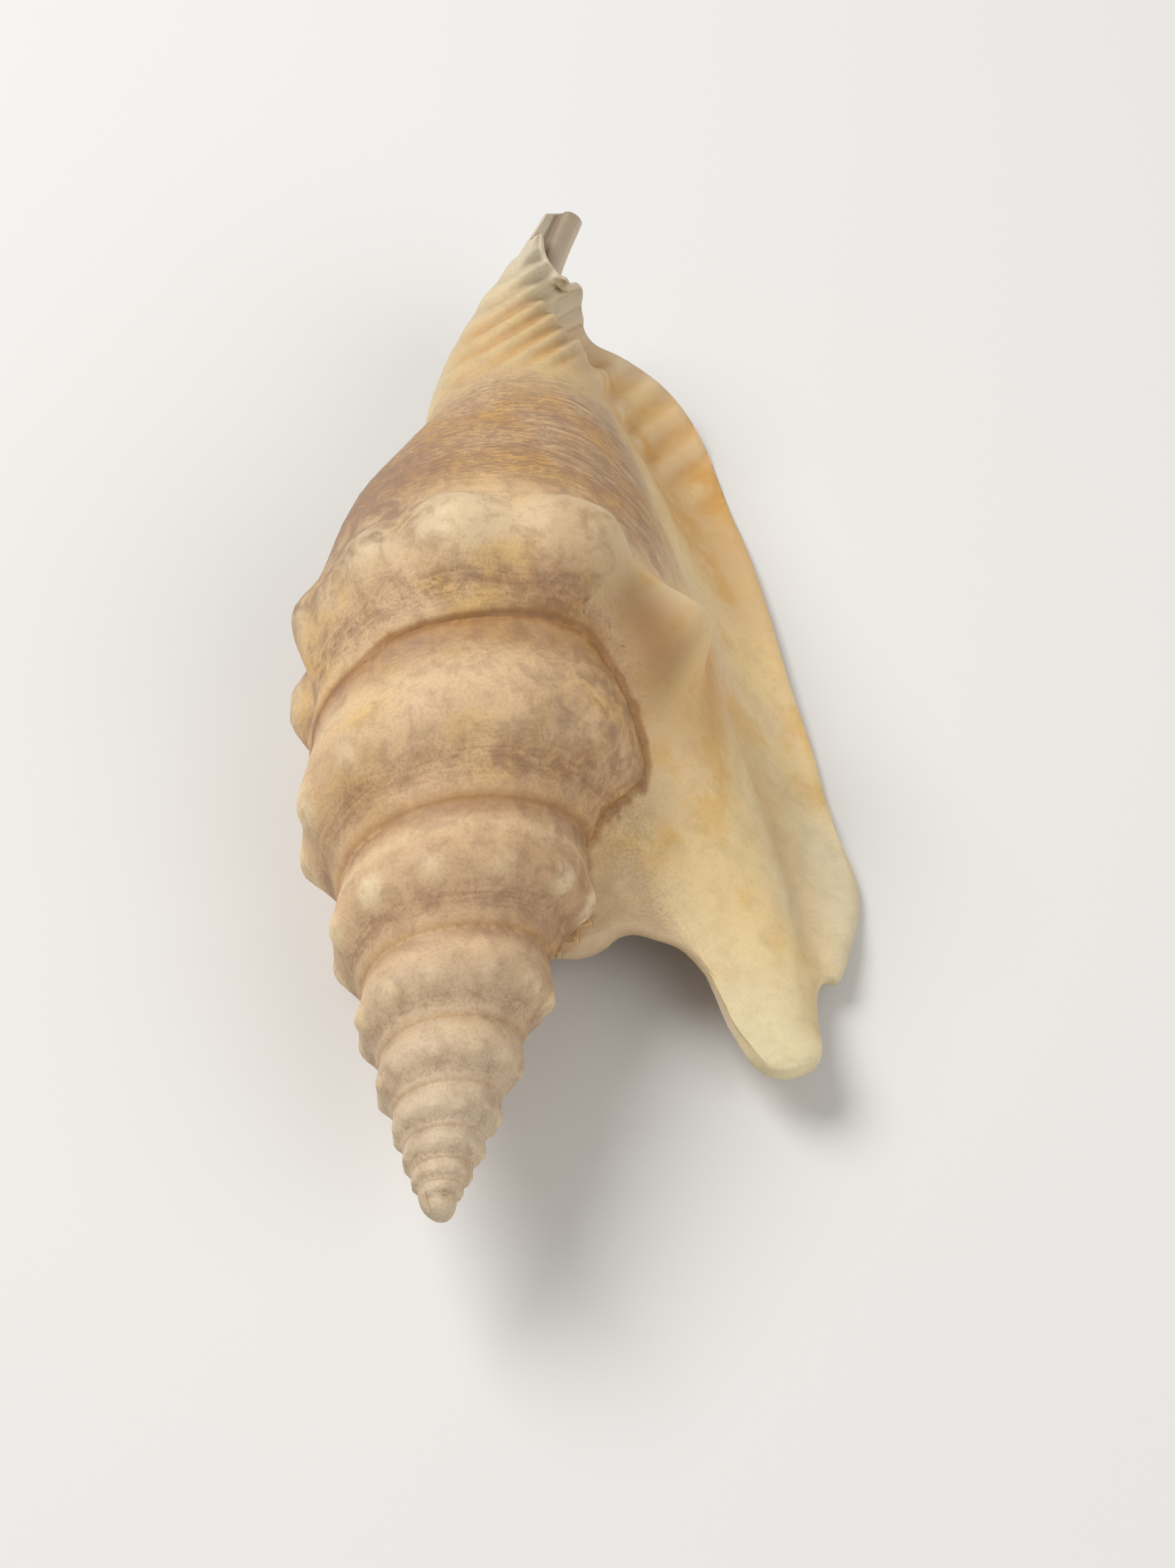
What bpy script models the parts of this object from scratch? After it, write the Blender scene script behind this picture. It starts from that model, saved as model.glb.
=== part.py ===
"""Spiny-shouldered conch shell lying on its aperture, dorsal side up.

The shell is grown the way the animal grows it: a right-handed spiral of whorls winds round the coil
axis (+Y, apex towards -Y), and the last whorl opens into a wide lip with a long finger behind, a
stromboid notch and a ribbed, recurved siphonal canal in front. Two closed bodies make it: the coil,
a helical loft, and the lip, a thick sheet that leaves the coil along one section. They are joined
with a Boolean and the result is set down on the points that it rests on.
"""
import math

import bmesh
import bpy
import numpy as np
from mathutils import Matrix

for old in list(bpy.data.objects):
    bpy.data.objects.remove(old, do_unlink=True)

MM = 0.001

# ---------------------------------------------------------------- driving dimensions (millimetres)
SHELL_NAME = "conch_shell"
AXIS_HEIGHT = 18.5          # coil axis above the supporting plane, before the shell is set down
BODY_SUTURE = 61.1          # distance apex to the body whorl's suture, dorsal side
BODY_RADIUS = 17.2          # coil radius at that suture
WHORL_RATIO = 0.686         # each whorl's length as a share of the next
RADIUS_POWER = 0.770        # radius grows as (length) to this power
APEX_OFFSET = 1.0
APEX_TIP = 0.1              # where the rounded nucleus ends
TURNS = 8.36                # whorls before the lip
COLUMNS = 33                # facets round one turn
BOW_LENGTH = 86.0           # over this length the axis is a little bowed to the left
BOW = 0.8
LEAN = 0.6                  # and the apex leans the same way
LIP_COLUMNS = 20            # facets from the coil's end to the lip's edge
KNOBS_PER_TURN = 11
KNOB_SIZE = 0.062           # spire knobs, share of the whorl's length
BULGE = 0.137               # how far a spire whorl swells between its sutures, share of its length
LEAVE = 0.36                # turns before the lip where the lip sheet leaves the coil
WALL = 2.2                  # shell wall
LIP_EDGE_WALL = 1.5         # wall just inside the lip's edge
CANAL_WALL = 0.8            # wall of the canal
FAN_ROWS = 25               # rows of facets over the fan
RIB_HEIGHT = 0.32
RIB_SLICES = (0.261, -0.307, -0.302, 43.43)  # the ribs lie like parallel slices: number per mm, first
FOLD_HEIGHT = 0.35          # broader folds of the side margin
POSTERIOR_CALLUS = 3.0      # extra wall where the lip's rear edge meets the spire
REST_ROLL = -1.22           # degrees about +Y that set the shell on its three resting points
REST_PITCH = -1.05          # degrees about +X
REST_SHIFT = (-12.54, -67.0, 0.23)  # origin under the middle of the box, points worn by 0.3 mm
SHELL_COLOUR = (0.72, 0.60, 0.42)
SHELL_ROUGHNESS = 0.55


def spline(knots, values, x):
    """Smooth curve through the values at the knots."""
    k = np.asarray(knots, float)
    v = np.asarray(values, float)
    flat = v.ndim == 1
    if flat:
        v = v[:, None]
    x = np.asarray(x, float)
    h = np.diff(k)[:, None]
    s = np.diff(v, axis=0) / h
    tangent = np.empty_like(v)
    tangent[0] = s[0]
    tangent[-1] = s[-1]
    tangent[1:-1] = (s[:-1] * h[1:] + s[1:] * h[:-1]) / (h[1:] + h[:-1])
    i = np.clip(np.searchsorted(k, x, side="right") - 1, 0, len(k) - 2)
    w = np.clip((x - k[i]) / (k[i + 1] - k[i]), 0, 1)[..., None]
    step = (k[i + 1] - k[i])[..., None]
    out = (2 * w**3 - 3 * w**2 + 1) * v[i] + (w**3 - 2 * w**2 + w) * step * tangent[i]
    out += (3 * w**2 - 2 * w**3) * v[i + 1] + (w**3 - w**2) * step * tangent[i + 1]
    return out[..., 0] if flat else out


def smooth(a, b, x):
    t = np.clip((np.asarray(x, float) - a) / (b - a), 0, 1)
    return t * t * (3 - 2 * t)


# ------------------------------------------------------------------------------------- coil shape
def suture(q):
    """Radius and distance along the axis of the suture, q turns before the lip."""
    scale = WHORL_RATIO ** (q - 0.25)
    return BODY_RADIUS * scale**RADIUS_POWER, (BODY_SUTURE + APEX_OFFSET) * scale - APEX_OFFSET


def knob_wave(q):
    """Spire knobs along a whorl: strongest on the left and right, no two alike."""
    wave = (0.5 + 0.5 * np.cos(2 * math.pi * KNOBS_PER_TURN * q)) ** 1.3
    sides = 0.8 + 0.35 * np.cos(4 * math.pi * q)
    return wave * sides * (1 + 0.22 * np.sin(17 * q) + 0.15 * np.cos(7.3 * q))


def band(q, u):
    """One spire whorl between its sutures: sloping ramp, knobbed shoulder, steep wall."""
    r0, l0 = suture(q)
    r1, l1 = suture(q - 1)
    bulge = BULGE * np.maximum(np.sin(math.pi * u**1.05), 0) ** 1.7
    bulge = bulge + KNOB_SIZE * knob_wave(q) * np.exp(-(((u - 0.44) / 0.15) ** 2)) * (u < 1)
    return r0 + u * (r1 - r0) + bulge * (l1 - l0), l0 + u * (l1 - l0) - bulge * (r1 - r0)


BAND_V = 0.30               # rows of a full section up to here belong to the whorl's band
# sections of the last whorl: radius and distance along the axis at each row, by turns before the lip
ROW_V = [0, .06, .13, .21, .30, .42, .54, .66, .78, .89, .945, 1.0]
SECTIONS = {
    0.10: ([18.6, 20.8, 21.0, 20.0, 17.6, 14.0, 10.6, 8.2, 5.6, 4.0, 2.4],
           [67, 73, 79, 87, 96, 103.5, 110, 116, 121.5, 125.5, 131.6]),
    0.25: ([18.2, 19.8, 19.6, 18.0, 14.2, 10.4, 8.6, 7.4, 5.4, 3.6, 2.3],
           [65, 71, 77.5, 85, 94, 102, 108.5, 115.5, 122, 126, 131.2]),
    0.45: ([16.2, 16.9, 17.0, 15.0, 10.9, 7.7, 7.4, 6.9, 5.0, 3.1, 2.2],
           [61, 68.5, 76, 84.5, 92.5, 99, 105.5, 113, 121.8, 126, 132.0]),
    0.75: ([14.8, 16.0, 16.2, 15.0, 12.0, 8.6, 7.0, 5.8, 4.4, 3.4, 2.3],
           [54.5, 61, 69, 78, 88, 97, 104, 112, 121, 126, 132.8]),
    0.87: ([15.0, 17.0, 17.6, 17.0, 12.6, 8.6, 6.8, 5.4, 4.2, 3.2, 2.9],
           [52, 58, 64.5, 72.5, 83, 93, 101.5, 111, 120.5, 126, 132.9]),
    1.00: ([15.3, 18.2, 18.9, 18.5, 12.6, 8.0, 5.4, 3.6, 2.4, 2.2, 2.2],
           [50, 55, 60.5, 67.2, 78, 89, 99, 110, 120, 126, 132.5]),
    1.20: ([14.2, 17.0, 17.8, 17.5, 10.6, 6.4, 4.2, 2.6, 1.5, 0.7, 0.4],
           [46, 51, 56, 62.3, 74, 86, 97, 108, 119, 125.5, 132.9]),
    1.36: ([13.4, 16.0, 17.0, 16.9, 10.0, 6.0, 4.0, 2.6, 1.5, 0.8, 0.6],
           [42.5, 47, 52.5, 58.5, 70, 83, 95, 107, 119.5, 126, 132.3]),
}


def section(q, v):
    """Radius and distance along the axis on the last whorl, row v from 0 (suture) to 1 (canal tip)."""
    q, v = np.broadcast_arrays(np.asarray(q, float), np.asarray(v, float))
    turns = sorted(SECTIONS)
    radii = np.array([[0] + SECTIONS[k][0] for k in turns], float)
    lengths = np.array([[0] + SECTIONS[k][1] for k in turns], float)
    radii = spline(turns, radii, q)
    lengths = spline(turns, lengths, q)
    r0, l0 = suture(q)
    radii[..., 0] = r0
    lengths[..., 0] = l0
    weights = spline(ROW_V, np.eye(len(ROW_V)), v)
    r, l = (radii * weights).sum(-1), (lengths * weights).sum(-1)
    as_band = smooth(0.86, 1.0, q) * (v < BAND_V)
    rb, lb = band(q, np.minimum(v / BAND_V, 1))
    return r + as_band * (rb - r), l + as_band * (lb - l)


BEND_L = [85, 86, 96, 106, 112, 118, 122, 125.5, 129, 134]
BEND = [[0, 0], [0, 0], [0.6, 0.2], [2, 1.2], [3.5, 2],
        [5.2, 3], [6.4, 4.2], [7.1, 5.3], [8.3, 6.3], [10.2, 7.5]]


def place(r, l, turns):
    """Point at radius r and distance l, on the axis that bows left in the spire and right in the neck."""
    rest = np.maximum(1 - np.asarray(l, float) / BOW_LENGTH, 0)
    bend = spline(BEND_L, BEND, l)
    aside = LEAN * rest**3 + BOW * rest * (1 - rest)
    angle = 2 * math.pi * turns
    return np.stack([bend[..., 0] - aside + r * np.cos(angle), l + 0 * angle,
                     AXIS_HEIGHT + bend[..., 1] + r * np.sin(angle)], -1)


# knobs of the body whorl: degrees, distance from the axis, distance along it, height, half width
KNOBS = [(17, 22.4, 69.3, 6.2, 5.6), (54, 20.4, 73.5, 5.0, 5.6), (73, 20.2, 72.5, 0.6, 5.0),
         (94, 19.8, 71.8, 3.8, 4.6), (121, 19.4, 70, 3.4, 3.4),
         (142, 18.8, 69.0, 2.2, 3.4), (164, 18.0, 70.5, 3.2, 3.0), (195, 17.0, 65.8, 4.6, 3.2),
         (222, 16.5, 63, 2.4, 3.4), (247, 17, 58.5, 3.9, 3.8), (277, 17, 60, 0.6, 3.4),
         (304, 17.2, 59, 1.2, 3.4), (331, 17.5, 57.5, 1.2, 3.4)]
KNOB_REACH_REAR = 7.0       # knobs fade slowly towards the suture
KNOB_REACH_FRONT = 4.0      # and end abruptly towards the canal


def knobs(points):
    """Height of the body whorl's knobs over points of the plain surface."""
    height = np.zeros(points.shape[:-1])
    for degrees, radius, length, rise, width in KNOBS:
        d = points - place(radius, length, degrees / 360)
        along = d[..., 1] / np.where(d[..., 1] < 0, KNOB_REACH_REAR, KNOB_REACH_FRONT)
        across = np.hypot(d[..., 0], d[..., 2]) / width
        height += rise * np.exp(-np.abs(across) ** 2.1 - np.abs(along) ** 2.2)
    return height


# -------------------------------------------------------------------------------------- lip shape
# edge of the lip from its start buried in the spire, round the finger, the hook and the side lobe,
# along the side to the notch, then up the ribbed fan to the canal: x, y, z and row v
LIP_EDGE = [(6, 35.4, 16.5, 0), (11, 35.7, 14.8, .011), (14.2, 36.5, 13.9, .018), (15.9, 37.6, 13.5, .022),
            (16.7, 38.6, 13.2, .026), (17.7, 39.0, 12.9, .031), (20.9, 38.7, 11.8, .047),
            (24.2, 38.0, 10.6, .068), (27.3, 34.8, 9.4, .09), (29.4, 30.6, 8.5, .11), (31.0, 26.8, 7.7, .127),
            (32.8, 25.0, 7, .138), (35.8, 24.5, 7, .152), (38.4, 26.2, 6.5, .165), (39.2, 28.6, 6.5, .177),
            (39.0, 33, 6, .192), (39.2, 36.4, 5.5, .205), (40, 38.4, 4.8, .215), (40.8, 38.6, 4.4, .221),
            (41.5, 38.5, 4, .227), (42.2, 39.9, 3.5, .235), (43.5, 44.6, 1.8, .258), (44.7, 51.6, .8, .30),
            (43.8, 55.3, 1, .325), (42.2, 59.5, 1.6, .355), (40.1, 70.1, 2, .42), (37.3, 80.7, 3, .48),
            (35.5, 89.5, 3, .53), (33, 100.2, 2.5, .58), (31.0, 106.8, 2, .615), (29.4, 112.6, 2, .65),
            (27.6, 117.5, 3, .68), (25.0, 121.1, 5, .705), (22.1, 123.1, 7, .73), (17.2, 124.5, 10, .765),
            (14.0, 124.5, 12, .79), (12.6, 124.6, 14.5, .815), (12.5, 124.1, 16.5, .835), (12.1, 124.3, 19, .86),
            (12.2, 124.6, 20.5, .87), (11.9, 124.6, 21.4, .877), (11.2, 124.0, 22.1, .884), (10.7, 122.8, 23, .892),
            (10.3, 122.8, 24, .902), (9.2, 123.1, 25.2, .92), (7.4, 125.4, 26.5, .94), (7.1, 128.4, 27.0, .96)]
# the same edge without the finger and the hook; the lip grows towards this line first
LIP_BASE = [(6, 35.4, 16.5, 0), (15.9, 37.6, 13.6, .022), (20.9, 39.1, 11.8, .047), (25.2, 38.9, 10.4, .072),
            (33.5, 36.5, 7.5, .145), (40, 38.4, 5, .207), (43.4, 43, 2.3, .25), (44.7, 51.6, .8, .30),
            (42.2, 59.5, 1.6, .355), (40.1, 70.1, 2, .42), (37.3, 80.7, 3, .48), (35.5, 89.5, 3, .53),
            (33, 100.2, 2.5, .58), (29.4, 112.6, 2, .65), (25.0, 120.9, 5, .705), (17.2, 124.5, 10, .765),
            (12.6, 124.6, 14.5, .815), (12.1, 124.0, 20, .865), (9.2, 123.1, 25.2, .92), (7.1, 128.4, 27.0, .96)]


def lip_edge(v):
    edge = np.array(LIP_EDGE, float)
    base = np.array(LIP_BASE, float)
    whole = spline(edge[:, 3], edge[:, :3], v)
    plain = spline(base[:, 3], base[:, :3], v)
    return plain, whole - plain


def polyline_distance(points, path):
    """Distance in plan from points to a path of (x, y)."""
    best = np.full(points.shape[:-1], 1e9)
    for a, b in zip(path[:-1], path[1:]):
        a = np.array(a, float)
        d = np.array(b, float) - a
        t = np.clip(((points[..., :2] - a) @ d) / (d @ d), 0, 1)
        best = np.minimum(best, np.linalg.norm(points[..., :2] - a - t[..., None] * d, axis=-1))
    return best


FINGER_RIDGE = [(24, 62), (29, 52), (33, 42), (35, 33), (35.6, 25)]
FINGER_VALLEY = [(31, 70), (35, 60), (38, 50), (39.3, 40), (39, 30)]
SIDE_SWELL = [(41.5, 61), (42.8, 52), (42.8, 45)]


def grid_normals(points):
    du = np.gradient(points, axis=0)
    dv = np.gradient(points, axis=1)
    n = np.cross(du, dv)
    return n / (np.linalg.norm(n, axis=-1, keepdims=True) + 1e-9)


FAN_V = (0.72, 0.96)


def fan_rows():
    """Close rows over the fan's ribs, then the canal's tip."""
    return np.concatenate([np.linspace(*FAN_V, FAN_ROWS), [0.98, 1.0]])


def lip_rows():
    """Row positions of the lip, closer together where the finger is."""
    return np.concatenate([np.linspace(0, 0.25, 20)[:-1], np.linspace(0.25, FAN_V[0], 13)[:-1], fan_rows()])


def lip_surface(v, columns):
    """Outer face of the lip, from the coil's end to the edge, and the turn that each point counts as."""
    turn_end = 0.17 + 0.15 * smooth(0.55, 0.97, v)
    round_columns = 9 * columns // 20
    sheet = []
    turns = []
    sink = 1.3 * (1 - smooth(0, 0.03, v))
    for i in range(round_columns + 1):
        q = LEAVE + (turn_end - LEAVE) * i / round_columns
        r, l = section(q, v)
        sheet.append(place(r - sink * smooth(0, 3, i), l, q))
        turns.append(q)
    root = sheet[-1]
    eps = 0.004
    r, l = section(turn_end - eps, v)
    ahead = place(r - sink, l, turn_end - eps)
    tangent = ahead - root
    tangent /= np.linalg.norm(tangent, axis=-1, keepdims=True)
    edge, detail = lip_edge(v)
    chord = edge - root
    reach = np.linalg.norm(chord, axis=-1, keepdims=True)
    out = chord * [1, 1, 0.05]
    out /= np.linalg.norm(out, axis=-1, keepdims=True)
    n = columns - round_columns
    for i in range(1, n + 1):
        t = (i / n) ** 1.2
        p = (2 * t**3 - 3 * t**2 + 1) * root + (t**3 - 2 * t**2 + t) * 0.95 * reach * tangent
        p = p + (3 * t**2 - 2 * t**3) * edge + (t**3 - t**2) * 1.1 * reach * out
        sheet.append(p + detail * smooth(0.25, 1.0, t) ** 1.2)
        turns.append(turn_end - 0.2 * t)
    return np.array(sheet), np.array(turns)


def lip_folds(points, along):
    """The finger's ridge, the valley beside it and the swelling of the side lobe."""
    height = 1.1 * np.exp(-((polyline_distance(points, FINGER_RIDGE) / 6.0) ** 2))
    height -= 1.0 * np.exp(-((polyline_distance(points, FINGER_VALLEY) / 2.0) ** 2))
    height += 0.9 * np.exp(-((polyline_distance(points, SIDE_SWELL) / 2.6) ** 2))
    return smooth(0.3, 0.75, along) * height


def fan_ribs(points, q, v, along):
    """Ribs that fan over the neck, and the broader folds of the side margin below them."""
    slices = points @ np.array(RIB_SLICES[:3]) + RIB_SLICES[3]
    zone = smooth(0.50, 0.64, v) * smooth(0.93, 0.90, v) * smooth(-5, 5, points[..., 0])
    zone = zone * smooth(0.52, 0.36, q) * smooth(6.0, 4.3, slices)
    ribs = -RIB_HEIGHT * zone * np.cos(2 * math.pi * slices)
    margin = smooth(0.58, 0.66, v) * smooth(0.78, 0.75, v) * smooth(0.45, 0.85, along)
    return ribs + FOLD_HEIGHT * margin * np.cos(2 * math.pi * (slices - 9.4) / 2.3)


# ------------------------------------------------------------------------------------ mesh building
class Mesh:
    def __init__(self):
        self.points = []
        self.faces = []

    def add(self, p):
        self.points.append([float(c) for c in p])
        return len(self.points) - 1

    def add_all(self, grid):
        return [[self.add(p) for p in line] for line in grid]

    def face(self, *corners):
        loop = [c for i, c in enumerate(corners) if c != corners[i - 1]]
        if len(loop) > 2:
            self.faces.append(loop)

    def strip(self, a, b):
        """Faces between two rows of points of the same or different count."""
        i = j = 0
        while i < len(a) - 1 or j < len(b) - 1:
            ahead_a = j == len(b) - 1
            if i < len(a) - 1 and j < len(b) - 1:
                da = np.subtract(self.points[a[i + 1]], self.points[b[j]])
                db = np.subtract(self.points[b[j + 1]], self.points[a[i]])
                ahead_a = da @ da < db @ db
            if ahead_a:
                self.face(a[i], a[i + 1], b[j])
                i += 1
            else:
                self.face(a[i], b[j + 1], b[j])
                j += 1

    def quads(self, a, b):
        for k in range(len(a) - 1):
            self.face(a[k], b[k], b[k + 1], a[k + 1])


BAND_U_ROWS = np.array([0, .18, .36, .5, .72, 1])
BAND_ROWS = len(BAND_U_ROWS) - 1


def coil_rows(q):
    """Row positions of a full section: the spire's band rows, then the base, neck and canal."""
    neck = fan_rows() if q < 0.62 else np.linspace(FAN_V[0], 1, 7)
    return np.concatenate([BAND_V * BAND_U_ROWS, np.linspace(BAND_V, FAN_V[0], 11)[1:-1], neck])


def build_coil():
    mesh = Mesh()
    total = round((TURNS - LEAVE) * COLUMNS)
    full = total - COLUMNS                     # first column that runs to the canal
    columns = []
    u = BAND_U_ROWS
    for i in range(total + 1):
        q = TURNS - i / COLUMNS
        # row 0 of each column is the last band row of the column one turn earlier
        if i >= COLUMNS:
            column = [columns[i - COLUMNS][BAND_ROWS]]
        else:
            column = [mesh.add(place(*suture(np.array(q)), q))]
        if i <= full:
            column += [mesh.add(p) for p in place(*band(np.full(BAND_ROWS, q), u[1:]), q)]
        if i >= full:
            v = coil_rows(q)[BAND_ROWS + 1:] if i == full else coil_rows(q)[1:]
            if i == total:
                v = lip_rows()[1:]
            p = place(*section(q, v), q)
            column += [mesh.add(c) for c in p + coil_relief(q, v, p)]
        columns.append(column)
        if 0 < i <= full:
            mesh.quads(columns[i - 1][:BAND_ROWS + 1], column[:BAND_ROWS + 1])
        elif i > full and len(column) == len(columns[i - 1]):
            mesh.quads(columns[i - 1], column)
        elif i > full:
            mesh.strip(columns[i - 1], column)
    # step where the coil ends under the lip
    mesh.strip(columns[total], columns[full][BAND_ROWS:])
    # rounded apex
    ring = [columns[i][0] for i in range(COLUMNS)] + columns[0][::-1][:-1]
    for shrink, rise in ((0.9, 0.45), (0.6, 0.85)):
        inner = []
        for c in ring:
            x, y, z = mesh.points[c]
            z = AXIS_HEIGHT + (z - AXIS_HEIGHT) * shrink
            inner.append(mesh.add((x * shrink, y + (APEX_TIP - y) * rise, z)))
        for k in range(len(ring)):
            mesh.face(ring[k - 1], inner[k - 1], inner[k], ring[k])
        ring = inner
    apex = mesh.add((0, APEX_TIP, AXIS_HEIGHT))
    for a, b in zip(ring, ring[1:] + ring[:1]):
        mesh.face(b, a, apex)
    # canal tip
    ring = [columns[i][-1] for i in range(full, total + 1)]
    centre = mesh.add(place(np.array(0.0), np.array(133.1), 0.0))
    for a, b in zip(ring, ring[1:] + ring[:1]):
        mesh.face(a, b, centre)
    return mesh


def coil_relief(q, v, points):
    outward = np.stack([np.full(len(points), math.cos(2 * math.pi * q)), 0 * v,
                        np.full(len(points), math.sin(2 * math.pi * q))], -1)
    height = knobs(points) * smooth(1.02, 0.92, q) + fan_ribs(points, q, v, 0 * v)
    return outward * height[:, None]


def soften(grid, share, passes):
    """Even out the rows of a grid, each point by its share."""
    for _ in range(passes):
        middle = (grid[:, :-2] + grid[:, 2:]) / 2
        grid[:, 1:-1] += share[:, 1:-1, None] * (middle - grid[:, 1:-1])
    return grid


def build_lip():
    v = lip_rows()[:-2]                        # the sheet ends where the canal opens
    plain, turns = lip_surface(v, LIP_COLUMNS)
    along = np.linspace(0, 1, LIP_COLUMNS + 1)[:, None] * np.ones(len(v))
    # the finger's foot runs softly into the wing
    foot = smooth(0.35, 0.5, along) * smooth(1.0, 0.85, along) ** 2 * smooth(0.30, 0.22, v)
    plain = soften(plain, foot, 10)
    normals = grid_normals(plain)
    height = knobs(plain) + lip_folds(plain, along) + fan_ribs(plain, turns, v, along)
    outer = plain + normals * height[..., None]
    # the rim is the coil's own last section
    p = place(*section(LEAVE, v), LEAVE)
    outer[0] = p + np.vstack([np.zeros(3), coil_relief(LEAVE, v[1:], p[1:])])
    # the inner face follows the plain surface, without the relief
    wall = WALL + (LIP_EDGE_WALL - WALL) * smooth(0.5, 1, along)
    wall = wall + (CANAL_WALL - wall) * smooth(0.72, 0.92, v)
    wall = wall + POSTERIOR_CALLUS * (1 - smooth(0.015, 0.045, v)) * smooth(0.45, 1, along)
    valley = polyline_distance(plain, FINGER_VALLEY)
    wall = wall + 1.2 * smooth(0.3, 0.75, along) * np.exp(-((valley / 2.4) ** 2))
    # under the wing the thickness is measured downwards, which keeps the finger's flank clean
    upright = (smooth(0.45, 0.75, along) * (1 - smooth(0.20, 0.30, v)))[..., None]
    toward = normals * (1 - upright) + np.array([0, 0, 1.0]) * upright
    inner = plain - toward / np.linalg.norm(toward, axis=-1, keepdims=True) * wall[..., None]
    # the sheet starts a little inside the coil
    behind = place(*section(LEAVE + 0.02, v), LEAVE + 0.02)
    toward = np.array([math.cos(2 * math.pi * LEAVE), 0, math.sin(2 * math.pi * LEAVE)])
    start_outer = behind - toward * 0.9
    inner[0] = behind - toward * 1.8
    edge = (outer[-1] + inner[-1]) / 2
    sheet = outer[-1] - outer[-2]
    sheet /= np.linalg.norm(sheet, axis=-1, keepdims=True)
    edge = edge + sheet * 0.5
    mesh = Mesh()
    top = mesh.add_all([start_outer] + list(outer) + [edge])
    under = mesh.add_all(inner[coarse(len(inner))][:, coarse(len(v))])
    for a, b in zip(top, top[1:]):
        mesh.quads(a, b)
    for a, b in zip(under, under[1:]):
        mesh.quads(b, a)
    mesh.strip(top[-1], under[-1])
    mesh.strip(under[0], top[0])
    mesh.strip([line[0] for line in under], [line[0] for line in top])
    mesh.strip([line[-1] for line in top], [line[-1] for line in under])
    return mesh


def coarse(count):
    """Every second index, always with the last."""
    return sorted(set(range(0, count, 2)) | {count - 1})


def make_object(name, mesh, collection):
    points = np.array(mesh.points)
    roll, pitch = math.radians(REST_ROLL), math.radians(REST_PITCH)
    turn = np.array(Matrix.Rotation(pitch, 3, "X") @ Matrix.Rotation(roll, 3, "Y"))
    points = points @ turn.T + REST_SHIFT
    data = bpy.data.meshes.new(name)
    data.from_pydata((points * MM).tolist(), [], mesh.faces)
    bm = bmesh.new()
    bm.from_mesh(data)
    bmesh.ops.triangulate(bm, faces=bm.faces)
    bmesh.ops.recalc_face_normals(bm, faces=bm.faces)
    if bm.calc_volume(signed=True) < 0:
        bmesh.ops.reverse_faces(bm, faces=bm.faces)
    bm.to_mesh(data)
    open_edges = sum(1 for e in bm.edges if len(e.link_faces) != 2)
    print(name, len(bm.faces), "triangles,", open_edges, "open edges,", bm.calc_volume() * 1e6, "cm3")
    bm.free()
    obj = bpy.data.objects.new(name, data)
    collection.objects.link(obj)
    return obj


def new_collection(name):
    collection = bpy.data.collections.new(name)
    bpy.context.scene.collection.children.link(collection)
    return collection


def shell_material():
    material = bpy.data.materials.new("Shell")
    material.use_nodes = True
    principled = material.node_tree.nodes["Principled BSDF"]
    principled.inputs["Base Color"].default_value = (*SHELL_COLOUR, 1)
    principled.inputs["Roughness"].default_value = SHELL_ROUGHNESS
    principled.inputs["Metallic"].default_value = 0
    material.diffuse_color = (*SHELL_COLOUR, 1)
    return material


def combine(target, cutter, operation, name):
    """Boolean on the target; the cutter stays in the file as a wire guide."""
    cutter.hide_render = True
    cutter.display_type = "WIRE"
    modifier = target.modifiers.new(name, "BOOLEAN")
    modifier.operation = operation
    modifier.solver = "EXACT"
    modifier.object = cutter


def ground_block(collection, size=0.3):
    """Block whose top is the plane that the shell lies on."""
    data = bpy.data.meshes.new("ground_block")
    bm = bmesh.new()
    bmesh.ops.create_cube(bm, size=size)
    bmesh.ops.translate(bm, verts=bm.verts, vec=(0, 0, -size / 2))
    bm.to_mesh(data)
    bm.free()
    block = bpy.data.objects.new("ground_block", data)
    collection.objects.link(block)
    return block


shell_collection = new_collection("Conch shell")
cutter_collection = new_collection("Cutters")
shell = make_object(SHELL_NAME, build_coil(), shell_collection)
lip = make_object("lip_sheet", build_lip(), cutter_collection)
shell.data.materials.append(shell_material())
combine(shell, lip, "UNION", "Join the lip")
combine(shell, ground_block(cutter_collection), "DIFFERENCE", "Worn resting points")
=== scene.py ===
# %% [markdown]
# # A winged conch shell
# A conch is one piece of lime shell, added at the mouth while the animal turns. So it is a tube wound
# round an axis, and every whorl is a larger copy of the one before. The last one opens into a wide lip
# with a finger behind, and stretches forward into a ribbed canal.
#
# The spire grows from a few numbers in Geometry Nodes, the body whorl and the lip are lofts, a second
# node tree raises the ribs, and one joined body gets its colours from where each point lies.

# %% Load the frame
import math

import bmesh
import bpy
import numpy as np
from mathutils import Matrix, Vector
from mathutils.kdtree import KDTree


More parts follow.
